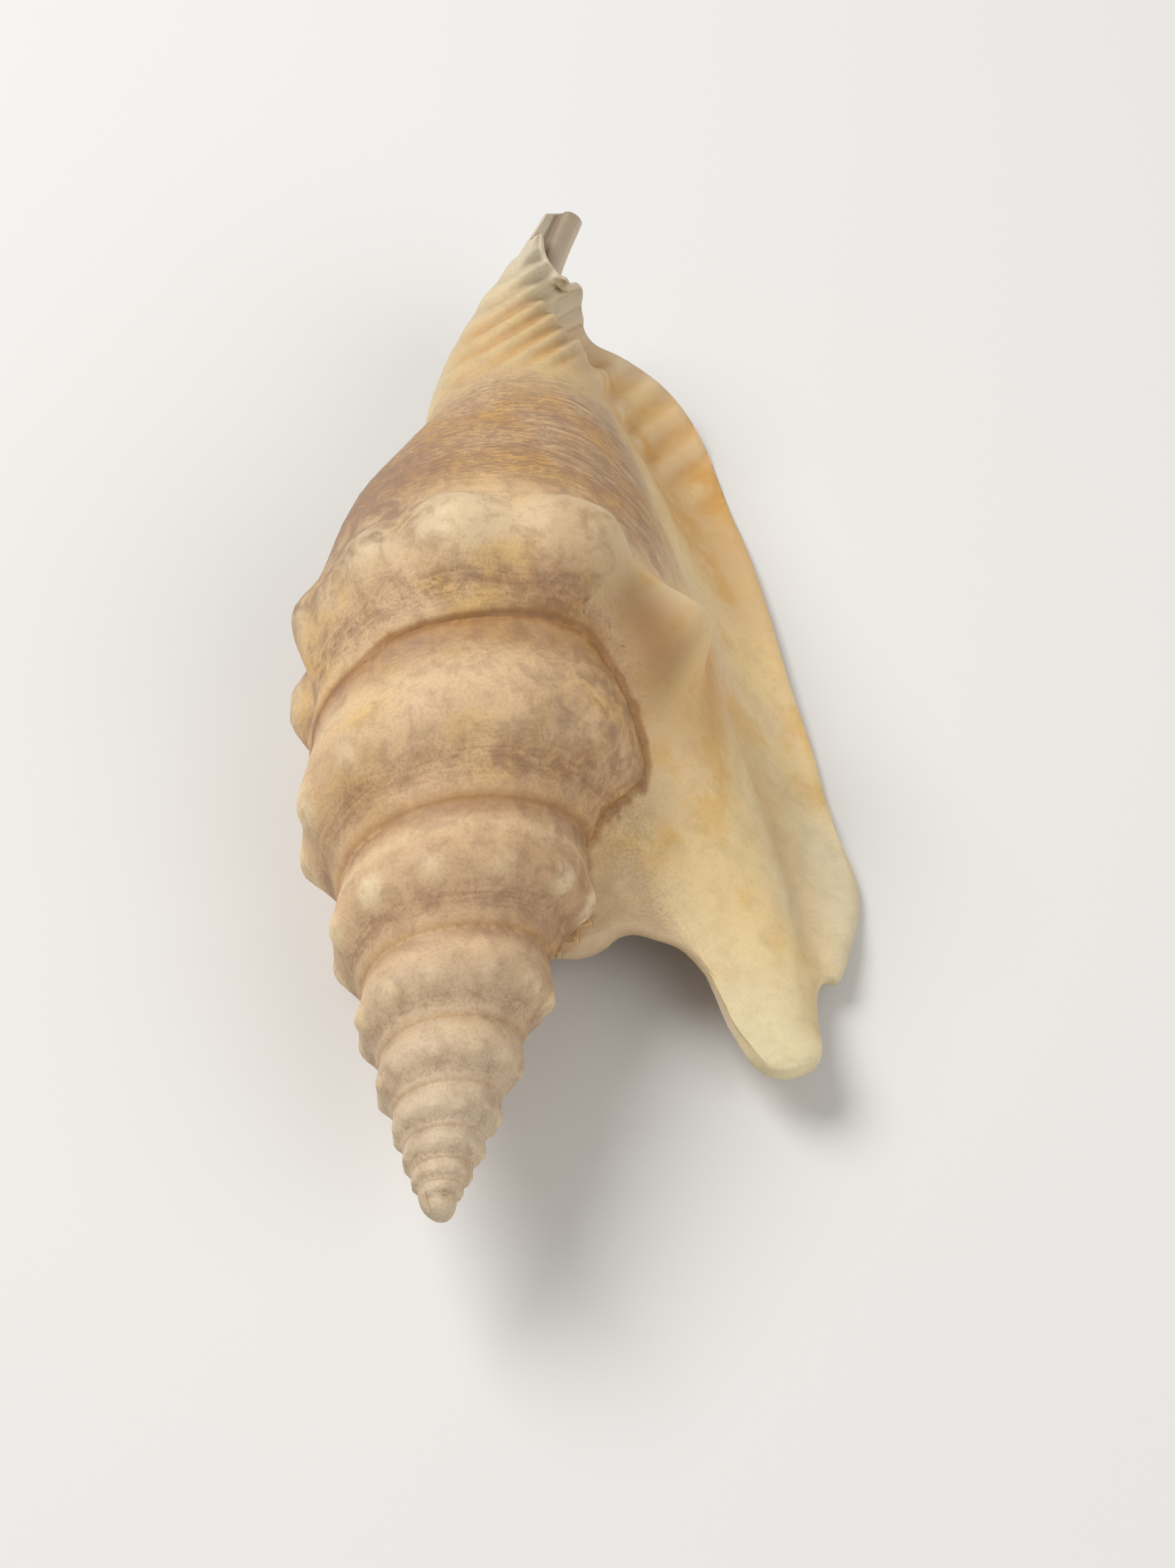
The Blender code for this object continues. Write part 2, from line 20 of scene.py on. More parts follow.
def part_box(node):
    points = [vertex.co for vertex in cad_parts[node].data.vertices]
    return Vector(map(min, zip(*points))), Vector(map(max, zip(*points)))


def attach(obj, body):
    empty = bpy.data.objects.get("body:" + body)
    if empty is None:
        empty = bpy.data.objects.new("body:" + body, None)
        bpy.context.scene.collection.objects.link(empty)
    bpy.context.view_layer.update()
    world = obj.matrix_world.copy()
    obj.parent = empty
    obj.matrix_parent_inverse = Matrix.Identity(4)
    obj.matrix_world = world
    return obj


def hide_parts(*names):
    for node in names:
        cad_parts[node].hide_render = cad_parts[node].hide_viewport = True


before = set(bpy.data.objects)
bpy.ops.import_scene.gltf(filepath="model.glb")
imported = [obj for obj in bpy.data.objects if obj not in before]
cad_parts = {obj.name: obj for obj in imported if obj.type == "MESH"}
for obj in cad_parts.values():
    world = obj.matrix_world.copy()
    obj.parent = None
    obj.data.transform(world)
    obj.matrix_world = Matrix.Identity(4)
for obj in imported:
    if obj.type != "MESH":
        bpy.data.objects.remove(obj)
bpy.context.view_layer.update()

LOW, HIGH = (np.array(corner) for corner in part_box("conch_shell"))
print("shell box in mm:", np.round((HIGH - LOW) * 1000, 1))

# %% [markdown]
# Sizes are in millimetres for a shell 133.1 mm long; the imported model's length sets the real scale.
# The coil's axis runs along +Y with the apex behind. Two numbers name a place on the shell: `turn`,
# counted backwards from the lip, and `row`, from 0 at the suture (the seam between two whorls) to 1 at
# the canal's tip.

# %% Sizes and small helpers
MODEL_LENGTH = 133.12
MM = (HIGH[1] - LOW[1]) / MODEL_LENGTH
AXIS_HEIGHT = 18.5
APEX_TIP = 0.1  # the rounded apex ends here
TURNS = 8.36
SPIRE_END = 1.36  # turns before the lip where the spire's band becomes the body whorl
LEAVE = 0.36  # and where the lip leaves the coil
COLUMNS = 132  # columns round one turn
BAND_ROWS = 22  # rows across one whorl of the spire
LIP_COLUMNS = 80
BOW_LENGTH = 86.0  # over this length the axis is a little bowed to the left
BOW = 0.8
LEAN = 0.6  # and the apex leans the same way
BULGE_SKEW, BULGE_POWER = 1.05, 1.7
BEAD_PLACE = 0.055
KNOB_PLACE, KNOB_WIDTH, KNOB_POWER = 0.44, 0.15, 1.3
KNOB_LOW, KNOB_SWING = 0.8, 0.35  # knobs are higher on top and below than at the sides
QUICK_WAVE, QUICK_SHARE = 17.0, 0.22  # two waves out of step, so that no two knobs are alike
SLOW_WAVE, SLOW_SHARE = 7.3, 0.15
WALL = 2.2
LIP_EDGE_WALL = 1.5
CANAL_WALL = 0.8
POSTERIOR_CALLUS = 3.0
FAN_ROWS = (0.72, 0.96)
RIB_SLICES = (0.261, -0.307, -0.302, 43.43)
REST_ROLL = -1.22
REST_PITCH = -1.05
REST_SHIFT = (-12.54, -67.0, 0.23)


def smooth(a, b, x):
    t = np.clip((np.asarray(x, float) - a) / (b - a), 0, 1)
    return t * t * (3 - 2 * t)


def unit(vectors):
    return vectors / np.linalg.norm(vectors, axis=-1, keepdims=True)


def spline(knots, values, x):
    """Smooth curve through the values at the knots."""
    k = np.asarray(knots, float)
    v = np.asarray(values, float)
    flat = v.ndim == 1
    if flat:
        v = v[:, None]
    x = np.asarray(x, float)
    h = np.diff(k)[:, None]
    s = np.diff(v, axis=0) / h
    tangent = np.empty_like(v)
    tangent[0] = s[0]
    tangent[-1] = s[-1]
    tangent[1:-1] = (s[:-1] * h[1:] + s[1:] * h[:-1]) / (h[1:] + h[:-1])
    i = np.clip(np.searchsorted(k, x, side="right") - 1, 0, len(k) - 2)
    w = np.clip((x - k[i]) / (k[i + 1] - k[i]), 0, 1)[..., None]
    step = (k[i + 1] - k[i])[..., None]
    out = (2 * w**3 - 3 * w**2 + 1) * v[i] + (w**3 - 2 * w**2 + w) * step * tangent[i]
    out += (3 * w**2 - 2 * w**3) * v[i + 1] + (w**3 - w**2) * step * tangent[i + 1]
    return out[..., 0] if flat else out


# %% [markdown]
# In a script, node trees read best as sums. `Wire` wraps one output of a node, and arithmetic on wires
# adds Math nodes. `NodeSheet.add` takes any node's type, its settings, then its inputs.

# %% A small way to write node trees
class Wire:
    """One output of a node. Arithmetic on it adds Math nodes."""

    def __init__(self, sheet, socket):
        self.sheet = sheet
        self.socket = socket

    def math(self, operation, *others):
        return self.sheet.add("ShaderNodeMath", {"operation": operation}, [self, *others])

    def __neg__(self):
        return self.math("MULTIPLY", -1.0)

    def smooth(self, a, b):
        """0 at a, 1 at b, with a soft start and end."""
        return self.sheet.add("ShaderNodeMapRange", {"interpolation_type": "SMOOTHSTEP"},
                              {"Value": self, "From Min": a, "From Max": b})

    def fall(self, a, b):
        """1 at a, 0 at b."""
        return 1.0 - self.smooth(a, b)

    def window(self, a, b, c, d):
        """Rises from a to b and falls from c to d."""
        return self.smooth(a, b) * self.fall(c, d)

    def bell(self, centre, width):
        return bell(self - centre, width)


def operator(operation, swapped):
    """A method that adds one Math node, with the other value second or, if swapped, first."""
    def method(wire, other):
        pair = [other, wire] if swapped else [wire, other]
        return wire.sheet.add("ShaderNodeMath", {"operation": operation}, pair)
    return method


for sign, operation in (("add", "ADD"), ("sub", "SUBTRACT"), ("mul", "MULTIPLY"),
                        ("truediv", "DIVIDE"), ("pow", "POWER")):
    setattr(Wire, f"__{sign}__", operator(operation, swapped=False))
    setattr(Wire, f"__r{sign}__", operator(operation, swapped=True))


NUMBER_MATH = {"SINE": np.sin, "COSINE": np.cos, "EXPONENT": np.exp, "MAXIMUM": np.maximum}


def apply(operation, x, *others):
    """The same function for a wire and for plain numbers."""
    return x.math(operation, *others) if isinstance(x, Wire) else NUMBER_MATH[operation](x, *others)


def bell(x, width):
    """1 where x is 0, fading away within about twice the width."""
    return apply("EXPONENT", -((x / width) ** 2))


def chart(levels):
    """A printed chart's red, green and blue turned into light."""
    return (*(((level / 255 + 0.055) / 1.055) ** 2.4 for level in levels), 1)


class NodeSheet:
    """A node tree that is filled from a script."""

    def __init__(self, tree):
        self.tree = tree

    def add(self, kind, settings=None, values=None, output=0):
        node = self.tree.nodes.new(kind)
        for name, value in (settings or {}).items():
            setattr(node, name, value)
        pairs = values.items() if isinstance(values, dict) else enumerate(values or [])
        for key, value in pairs:
            socket = node.inputs[key]
            if isinstance(value, Wire):
                self.tree.links.new(value.socket, socket)
            elif value is not None:
                socket.default_value = value
        return Wire(self, node.outputs[output])

    def mix(self, factor, a, b):
        """Colour a turning into colour b; a tuple is a chart colour."""
        a, b = (chart(colour) if isinstance(colour, tuple) else colour for colour in (a, b))
        return self.add("ShaderNodeMix", {"data_type": "RGBA"}, {0: factor, 6: a, 7: b}, output=2)

    def split(self, vector):
        """The x, y and z of a vector."""
        x = self.add("ShaderNodeSeparateXYZ", None, [vector])
        return [Wire(self, socket) for socket in x.socket.node.outputs]

    def noise(self, vector, scale, dimensions="3D", **inputs):
        """Noise from 0 to 1; inputs are Detail, Roughness and Distortion."""
        return self.add("ShaderNodeTexNoise", {"noise_dimensions": dimensions},
                        {"Vector": vector, "Scale": scale, **inputs})

    def store(self, geometry, **values):
        """Keep values on the points under the given names."""
        for name, value in values.items():
            geometry = self.add("GeometryNodeStoreNamedAttribute", {"data_type": "FLOAT", "domain": "POINT"},
                                {"Geometry": geometry, "Name": name, "Value": value})
        return geometry


class Coat:
    """A colour that is built up in layers."""

    def __init__(self, sheet, colour):
        self.sheet = sheet
        self.colour = colour

    def lay(self, factor, tint):
        self.colour = self.sheet.mix(factor, self.colour, tint)


def geometry_sheet(name, inputs):
    """An empty Geometry Nodes tree with named inputs, and a wire for each."""
    tree = bpy.data.node_groups.new(name, "GeometryNodeTree")
    tree.interface.new_socket("Geometry", in_out="INPUT", socket_type="NodeSocketGeometry")
    for label, value in inputs.items():
        kind = "NodeSocketInt" if isinstance(value, int) else "NodeSocketFloat"
        tree.interface.new_socket(label, in_out="INPUT", socket_type=kind).default_value = value
    tree.interface.new_socket("Geometry", in_out="OUTPUT", socket_type="NodeSocketGeometry")
    sheet = NodeSheet(tree)
    start = tree.nodes.new("NodeGroupInput")
    wires = {socket.name: Wire(sheet, socket) for socket in start.outputs if socket.name}
    return sheet, wires


def finish_tree(sheet, geometry, material):
    real = sheet.add("GeometryNodeRealizeInstances", None, [geometry])
    painted = sheet.add("GeometryNodeSetMaterial", None, {"Geometry": real, "Material": material})
    end = sheet.tree.nodes.new("NodeGroupOutput")
    sheet.tree.links.new(painted.socket, end.inputs[0])
    return sheet.tree


def grow(obj, tree, inputs):
    """Run a tree on an object with the given inputs, and return the plain mesh that it makes."""
    modifier = obj.modifiers.new(tree.name, "NODES")
    modifier.node_group = tree
    for item in tree.interface.items_tree:
        if item.in_out == "INPUT" and item.name in inputs:
            modifier[item.identifier] = inputs[item.name]
    evaluated = obj.evaluated_get(bpy.context.evaluated_depsgraph_get())
    mesh = bpy.data.meshes.new_from_object(evaluated)
    obj.modifiers.remove(modifier)
    return mesh


def read_points(mesh):
    flat = np.empty(len(mesh.vertices) * 3)
    mesh.vertices.foreach_get("co", flat)
    return flat.reshape(-1, 3)


def read_values(mesh, name):
    values = np.empty(len(mesh.vertices))
    mesh.attributes[name].data.foreach_get("value", values)
    return values


def write_values(mesh, name, values):
    attribute = mesh.attributes.get(name) or mesh.attributes.new(name, "FLOAT", "POINT")
    attribute.data.foreach_set("value", np.asarray(values, float).ravel())


def linked(name, data):
    obj = bpy.data.objects.new(name, data)
    scene.collection.objects.link(obj)
    return obj


def matt(name, roughness, specular):
    """A material without much shine, and its shader node."""
    material = bpy.data.materials.new(name)
    material.use_nodes = True
    shader = material.node_tree.nodes["Principled BSDF"]
    shader.inputs["Roughness"].default_value = roughness
    shader.inputs["Specular IOR Level"].default_value = specular
    return material, shader


scene = bpy.context.scene
shell_material, shell_shader = matt("Weathered lime", 0.55, 0.3)

# %% [markdown]
# ## The spire
# On the real shell each whorl is a band between two sutures: a ramp that slopes down from the seam, a
# shoulder with low knobs, and a steeper wall. One whorl copied smaller and smaller would never meet its
# neighbours. So a flat grid is rolled up: one side counts the turns, the other runs across the band,
# and the far edge of one turn lies exactly on the near edge of the next. `band` holds the formula. It
# serves the node tree and plain numbers alike, so the body whorl can take over without a step.

# %% Roll a grid up into whorls
# the whorl ratio is each whorl's length as a share of the next one's, and the body suture is measured
# from the apex; bulge, knob size and bead are shares of the band's width
SPIRE = {"Turns": TURNS, "Last turn": SPIRE_END, "Columns": 2, "Rows": 2, "Whorl ratio": 0.686,
         "Body radius": 17.2, "Body suture": 61.1, "Radius power": 0.770, "Apex offset": 1.0,
         "Bulge": 0.137, "Knobs per turn": 11.0, "Knob size": 0.062, "Suture bead": 0.018,
         "Axis height": AXIS_HEIGHT, "Bow length": BOW_LENGTH, "Bow": BOW, "Lean": LEAN}


def suture(turn, given=SPIRE):
    scale = given["Whorl ratio"] ** (turn - 0.25)
    radius = given["Body radius"] * scale ** given["Radius power"]
    return radius, (given["Body suture"] + given["Apex offset"]) * scale - given["Apex offset"]


def bead(across):
    """The raised thread just below a suture."""
    close = (across / BEAD_PLACE) ** 2.0
    return close * apply("EXPONENT", 1.0 - close)


def band(turn, across, given=SPIRE):
    """Radius and length of a place on a whorl's band, and how much of a knob it is."""
    r0, l0 = suture(turn, given)
    r1, l1 = suture(turn - 1.0, given)
    arch = apply("MAXIMUM", apply("SINE", (across ** BULGE_SKEW) * math.pi), 0.0) ** BULGE_POWER
    wave = (apply("COSINE", turn * given["Knobs per turn"] * (2 * math.pi)) * 0.5 + 0.5) ** KNOB_POWER
    uneven = apply("SINE", turn * QUICK_WAVE) * QUICK_SHARE
    uneven = uneven + apply("COSINE", turn * SLOW_WAVE) * SLOW_SHARE + 1.0
    sides = apply("COSINE", turn * (4 * math.pi)) * KNOB_SWING + KNOB_LOW
    knob = wave * uneven * sides * bell(across - KNOB_PLACE, KNOB_WIDTH)
    lift = arch * given["Bulge"] + knob * given["Knob size"] + bead(across) * given["Suture bead"]
    radius = r0 + across * (r1 - r0) + lift * (l1 - l0)
    return radius, l0 + across * (l1 - l0) - lift * (r1 - r0), knob


def whorl_tree():
    sheet, given = geometry_sheet("Spiral whorls", SPIRE)
    grid = sheet.add("GeometryNodeMeshGrid", None, {
        "Size X": 1.0, "Size Y": 1.0, "Vertices X": given["Columns"], "Vertices Y": given["Rows"]})
    grid_x, grid_y, _ = sheet.split(sheet.add("GeometryNodeInputPosition"))
    along, across = grid_x + 0.5, grid_y + 0.5
    turn = given["Turns"] - along * (given["Turns"] - given["Last turn"])
    radius, length, knob = band(turn, across, given)
    angle = turn * (2 * math.pi)
    rest = 1.0 - length / given["Bow length"]
    aside = given["Lean"] * rest ** 3.0 + given["Bow"] * rest * (1.0 - rest)
    place_at = sheet.add("ShaderNodeCombineXYZ", None, [
        radius * angle.math("COSINE") - aside, length, given["Axis height"] + radius * angle.math("SINE")])
    geometry = sheet.store(grid, turn=turn, across=across, knob=knob)
    moved = sheet.add("GeometryNodeSetPosition", None, {"Geometry": geometry, "Position": place_at})
    return finish_tree(sheet, moved, shell_material)


SPIRE_COLUMNS = round((TURNS - SPIRE_END) * COLUMNS) + 1
blank = linked("spire_grid", bpy.data.meshes.new("spire_grid"))
spire_mesh = grow(blank, whorl_tree(), {"Columns": SPIRE_COLUMNS, "Rows": BAND_ROWS + 1})
spire = read_points(spire_mesh).reshape(SPIRE_COLUMNS, BAND_ROWS + 1, 3)
spire_values = {name: read_values(spire_mesh, name).reshape(SPIRE_COLUMNS, BAND_ROWS + 1)
                for name in ("turn", "across", "knob")}
bpy.data.objects.remove(blank, do_unlink=True)
print("spire grid:", spire.shape[0], "columns by", spire.shape[1], "rows")

# %% [markdown]
# ## The body whorl
# The last whorl narrows below the shoulder into base, neck and canal, and its profile changes as the
# shell grows. No formula says how, so it is a loft: eight profiles at chosen turns, with a smooth curve
# through them for every turn between. The neck's axis also bends to the right and upwards.

# %% Profiles of the body whorl
BAND_EDGE = 0.30  # rows up to here are the whorl's band
ROW_V = [0, .06, .13, .21, .30, .42, .54, .66, .78, .89, .945, 1.0]
PROFILES = {
    0.10: ([18.6, 20.8, 21.0, 20.0, 17.6, 14.0, 10.6, 8.2, 5.6, 4.0, 2.4],
           [67, 73, 79, 87, 96, 103.5, 110, 116, 121.5, 125.5, 131.6]),
    0.25: ([18.2, 19.8, 19.6, 18.0, 14.2, 10.4, 8.6, 7.4, 5.4, 3.6, 2.3],
           [65, 71, 77.5, 85, 94, 102, 108.5, 115.5, 122, 126, 131.2]),
    0.45: ([16.2, 16.9, 17.0, 15.0, 10.9, 7.7, 7.4, 6.9, 5.0, 3.1, 2.2],
           [61, 68.5, 76, 84.5, 92.5, 99, 105.5, 113, 121.8, 126, 132.0]),
    0.75: ([14.8, 16.0, 16.2, 15.0, 12.0, 8.6, 7.0, 5.8, 4.4, 3.4, 2.3],
           [54.5, 61, 69, 78, 88, 97, 104, 112, 121, 126, 132.8]),
    0.87: ([15.0, 17.0, 17.6, 17.0, 12.6, 8.6, 6.8, 5.4, 4.2, 3.2, 2.9],
           [52, 58, 64.5, 72.5, 83, 93, 101.5, 111, 120.5, 126, 132.9]),
    1.00: ([15.3, 18.2, 18.9, 18.5, 12.6, 8.0, 5.4, 3.6, 2.4, 2.2, 2.2],
           [50, 55, 60.5, 67.2, 78, 89, 99, 110, 120, 126, 132.5]),
    1.20: ([14.2, 17.0, 17.8, 17.5, 10.6, 6.4, 4.2, 2.6, 1.5, 0.7, 0.4],
           [46, 51, 56, 62.3, 74, 86, 97, 108, 119, 125.5, 132.9]),
    1.36: ([13.4, 16.0, 17.0, 16.9, 10.0, 6.0, 4.0, 2.6, 1.5, 0.8, 0.6],
           [42.5, 47, 52.5, 58.5, 70, 83, 95, 107, 119.5, 126, 132.3]),
}
BEND_LENGTH = [85, 86, 96, 106, 112, 118, 122, 125.5, 129, 134]
BEND = [[0, 0], [0, 0], [0.6, 0.2], [2, 1.2], [3.5, 2],
        [5.2, 3], [6.4, 4.2], [7.1, 5.3], [8.3, 6.3], [10.2, 7.5]]


def profile(turn, row):
    turn, row = np.broadcast_arrays(np.asarray(turn, float), np.asarray(row, float))
    stations = sorted(PROFILES)
    radii, lengths = (spline(stations, [[0] + PROFILES[k][part] for k in stations], turn)
                      for part in (0, 1))
    radii[..., 0], lengths[..., 0] = suture(turn)
    weights = spline(ROW_V, np.eye(len(ROW_V)), row)
    radius, length = (radii * weights).sum(-1), (lengths * weights).sum(-1)
    as_band = smooth(0.86, 1.0, turn) * (row <= BAND_EDGE)
    band_radius, band_length, _ = band(turn, np.minimum(row / BAND_EDGE, 1))
    return radius + as_band * (band_radius - radius), length + as_band * (band_length - length)


def place(radius, length, turn):
    rest = np.maximum(1 - np.asarray(length, float) / BOW_LENGTH, 0)
    bend = spline(BEND_LENGTH, BEND, length)
    aside = LEAN * rest**3 + BOW * rest * (1 - rest)
    angle = 2 * math.pi * turn
    return np.stack([bend[..., 0] - aside + radius * np.cos(angle), length + 0 * angle,
                     AXIS_HEIGHT + bend[..., 1] + radius * np.sin(angle)], -1)


# %% [markdown]
# The knobs of the body whorl are not alike: the one nearest the lip is the largest, and those on the
# rubbed underside are low. So they are listed one by one. Each is a bell that rises slowly from the
# suture side and drops quickly towards the canal.

# %% Knobs of the body whorl
# degrees, distance from the axis, length, rise and width
KNOBS = [
    (17, 22.4, 69.3, 6.2, 5.6), (54, 20.4, 73.5, 5.0, 5.6), (73, 20.2, 72.5, 0.6, 5.0),
    (94, 19.8, 71.8, 3.8, 4.6), (121, 19.4, 70, 3.4, 3.4), (142, 18.8, 69.0, 2.2, 3.4),
    (164, 18.0, 70.5, 3.2, 3.0), (195, 17.0, 65.8, 4.6, 3.2), (222, 16.5, 63, 2.4, 3.4),
    (247, 17, 58.5, 3.9, 3.8), (277, 17, 60, 0.6, 3.4), (304, 17.2, 59, 1.2, 3.4),
    (331, 17.5, 57.5, 1.2, 3.4),
]
KNOB_REACH_REAR = 7.0
KNOB_REACH_FRONT = 4.0


def knobs(points):
    height = np.zeros(points.shape[:-1])
    for degrees, radius, length, rise, width in KNOBS:
        d = points - place(radius, length, degrees / 360)
        along = d[..., 1] / np.where(d[..., 1] < 0, KNOB_REACH_REAR, KNOB_REACH_FRONT)
        across = np.hypot(d[..., 0], d[..., 2]) / width
        height += rise * np.exp(-np.abs(across) ** 2.1 - np.abs(along) ** 2.2)
    return height


# %% [markdown]
# The loft's first column is the spire's last one and its first row is the spire's far edge one turn
# earlier, so the grids share their points and the coil stays closed. Each point carries its turn and
# row, how much of a knob it is, and which way is outwards.

# %% Loft the body whorl and close the coil
class Skin:
    """Points with their values, and faces, gathered piece by piece."""

    def __init__(self):
        self.points = []
        self.values = []
        self.faces = []

    def add(self, points, **values):
        """Add a grid of points; gives back their numbers in the same grid."""
        first = sum(len(p) for p in self.points)
        shape = points.shape[:-1]
        columns = [np.broadcast_to(np.asarray(values.get(name, 0.0), float), shape).reshape(-1)
                   for name in VALUE_NAMES]
        self.points.append(points.reshape(-1, 3))
        self.values.append(np.stack(columns, 1))
        return np.arange(first, first + points[..., 0].size).reshape(shape)

    def all_points(self):
        return np.concatenate(self.points)

    def quads(self, grid, flip=False):
        a, b, c, d = grid[:-1, :-1], grid[1:, :-1], grid[1:, 1:], grid[:-1, 1:]
        quad = np.stack([a, b, c, d], -1).reshape(-1, 4)
        self.faces += (quad[:, ::-1] if flip else quad).tolist()

    def zip_rows(self, a, b):
        """Triangles between two rows of points of different count."""
        points = self.all_points()
        i = j = 0
        while i < len(a) - 1 or j < len(b) - 1:
            step_a = j == len(b) - 1
            if i < len(a) - 1 and j < len(b) - 1:
                da = points[a[i + 1]] - points[b[j]]
                db = points[b[j + 1]] - points[a[i]]
                step_a = da @ da < db @ db
            if step_a:
                self.faces.append([a[i], a[i + 1], b[j]])
                i += 1
            else:
                self.faces.append([a[i], b[j + 1], b[j]])
                j += 1

    def fan(self, ring, tip):
        for a, b in zip(ring, np.roll(ring, -1)):
            self.faces.append([a, b, tip])

    def mesh(self, name):
        mesh = bpy.data.meshes.new(name)
        faces = [[c for i, c in enumerate(f) if c != f[i - 1]] for f in self.faces]
        mesh.from_pydata(self.all_points().tolist(), [], [f for f in faces if len(f) > 2])
        for name, column in zip(VALUE_NAMES, np.concatenate(self.values).T):
            write_values(mesh, name, column)
        return mesh


VALUE_NAMES = ("turn", "row", "along", "inside", "out_x", "out_y", "out_z", "knob", "seam", "ramp", "wall",
               "fold", "rib")
SEAM_WIDTH = 0.06
TIP_STEPS = np.linspace(FAN_ROWS[1], 1, 7)[1:]
BAND_STEPS = np.linspace(0, BAND_EDGE, BAND_ROWS + 1)
NECK_STEPS = np.concatenate([np.linspace(BAND_EDGE, FAN_ROWS[0], 49)[1:],
                             np.linspace(*FAN_ROWS, 73)[1:], TIP_STEPS])
LIP_STEPS = np.concatenate([np.linspace(0, 0.25, 65)[:-1], np.linspace(0.25, FAN_ROWS[0], 57)[:-1],
                            np.linspace(*FAN_ROWS, 73)])


def zones(row, spire=False):
    """Where a point lies across its whorl: at the seam, on the ramp, or on the wall below the knobs."""
    across = np.asarray(row, float) / BAND_EDGE
    seam = bell(across, SEAM_WIDTH)
    if spire:
        seam = seam + bell(1 - across, SEAM_WIDTH)
    return {"seam": seam, "ramp": bell(across - 0.20, 0.10), "wall": bell(across - 0.76, 0.12)}


def coil_values(turn, row, spire=False):
    """What a point of the coil carries: where it lies and which way is outwards."""
    angle = 2 * math.pi * turn
    return {"turn": turn, "row": row, "out_x": np.cos(angle), "out_z": np.sin(angle), **zones(row, spire)}


def body_columns(turn, row):
    """Points of the body whorl with its knobs, which fade out before the spire."""
    points = place(*profile(turn, row), np.broadcast_to(turn, np.shape(turn + row)))
    height = knobs(points) * smooth(1.02, 0.92, turn)
    thread = SPIRE["Suture bead"] * 22 * bead(row / BAND_EDGE)
    height = height + thread * smooth(1.0, 0.86, turn) * smooth(LEAVE, LEAVE + 0.1, turn)
    angle = 2 * math.pi * turn + 0 * row
    outward = np.stack([np.cos(angle), 0 * angle, np.sin(angle)], -1)
    return points + outward * height[..., None], height


def build_coil():
    skin = Skin()
    spire_row = spire_values["across"] * BAND_EDGE
    grid = skin.add(spire, knob=spire_values["knob"],
                    **coil_values(spire_values["turn"], spire_row, spire=True))
    skin.quads(grid)
    turn = SPIRE_END - np.arange(1, COLUMNS)[:, None] / COLUMNS
    row = np.concatenate([BAND_STEPS[1:], NECK_STEPS])[None, :]
    points, height = body_columns(turn, row)
    body = skin.add(points, knob=height / 4, **coil_values(turn, row))
    first_points, _ = body_columns(np.array([[SPIRE_END]]), NECK_STEPS[None, :])
    first = skin.add(first_points[0], **coil_values(SPIRE_END, NECK_STEPS))
    seam = grid[-COLUMNS - 1:, -1]                   # the spire's far edge over its last turn
    body = np.concatenate([seam[1:-1, None], body], 1)
    body = np.concatenate([np.concatenate([grid[-1], first])[None], body])
    skin.quads(body)
    # last column, with the lip's own rows, then the step down to the coil one turn earlier
    rows = np.concatenate([LIP_STEPS[1:], TIP_STEPS])
    points, height = body_columns(np.array([[LEAVE]]), rows[None, :])
    last = skin.add(points[0], knob=height[0] / 4, **coil_values(LEAVE, rows))
    last = np.concatenate([seam[-1:], last])
    skin.zip_rows(body[-1], last)
    skin.zip_rows(last, body[0, BAND_ROWS:])
    return skin, grid, body, last


coil, spire_grid, body_grid, last_column = build_coil()
print("coil so far:", len(coil.all_points()), "points,", len(coil.faces), "faces")

# %% [markdown]
# Two ends are still open. Rings that shrink along a quarter circle round off the apex, as on a young
# shell's first whorl. The canal's tip is a thin ring, closed by a fan of triangles.

# %% Close the apex and the canal's tip
APEX_RINGS = 7


def close_ends(skin, grid, body, last):
    ring = np.concatenate([grid[:COLUMNS, 0], grid[0, :0:-1]])
    base = skin.all_points()[ring]
    for k in range(1, APEX_RINGS):
        quarter = 0.5 * math.pi * k / APEX_RINGS
        x, y, z = base.T
        points = np.stack([x * math.cos(quarter), y + (APEX_TIP - y) * math.sin(quarter),
                           AXIS_HEIGHT + (z - AXIS_HEIGHT) * math.cos(quarter)], 1)
        inner = skin.add(points, turn=TURNS, out_y=-1.0)
        both = np.stack([np.append(ring, ring[0]), np.append(inner, inner[0])])
        skin.quads(both)
        ring = inner
    tip = skin.add(np.array([[0, APEX_TIP, AXIS_HEIGHT]]), turn=TURNS, out_y=-1.0)
    skin.fan(ring, tip[0])
    ring = np.append(body[:, -1], last[-1])
    tip = skin.add(place(np.zeros(1), np.full(1, 133.1), 0.0), turn=0.8, row=1.0, out_y=1.0)
    skin.fan(ring, tip[0])


close_ends(coil, spire_grid, body_grid, last_column)
print("closed coil:", len(coil.faces), "faces")
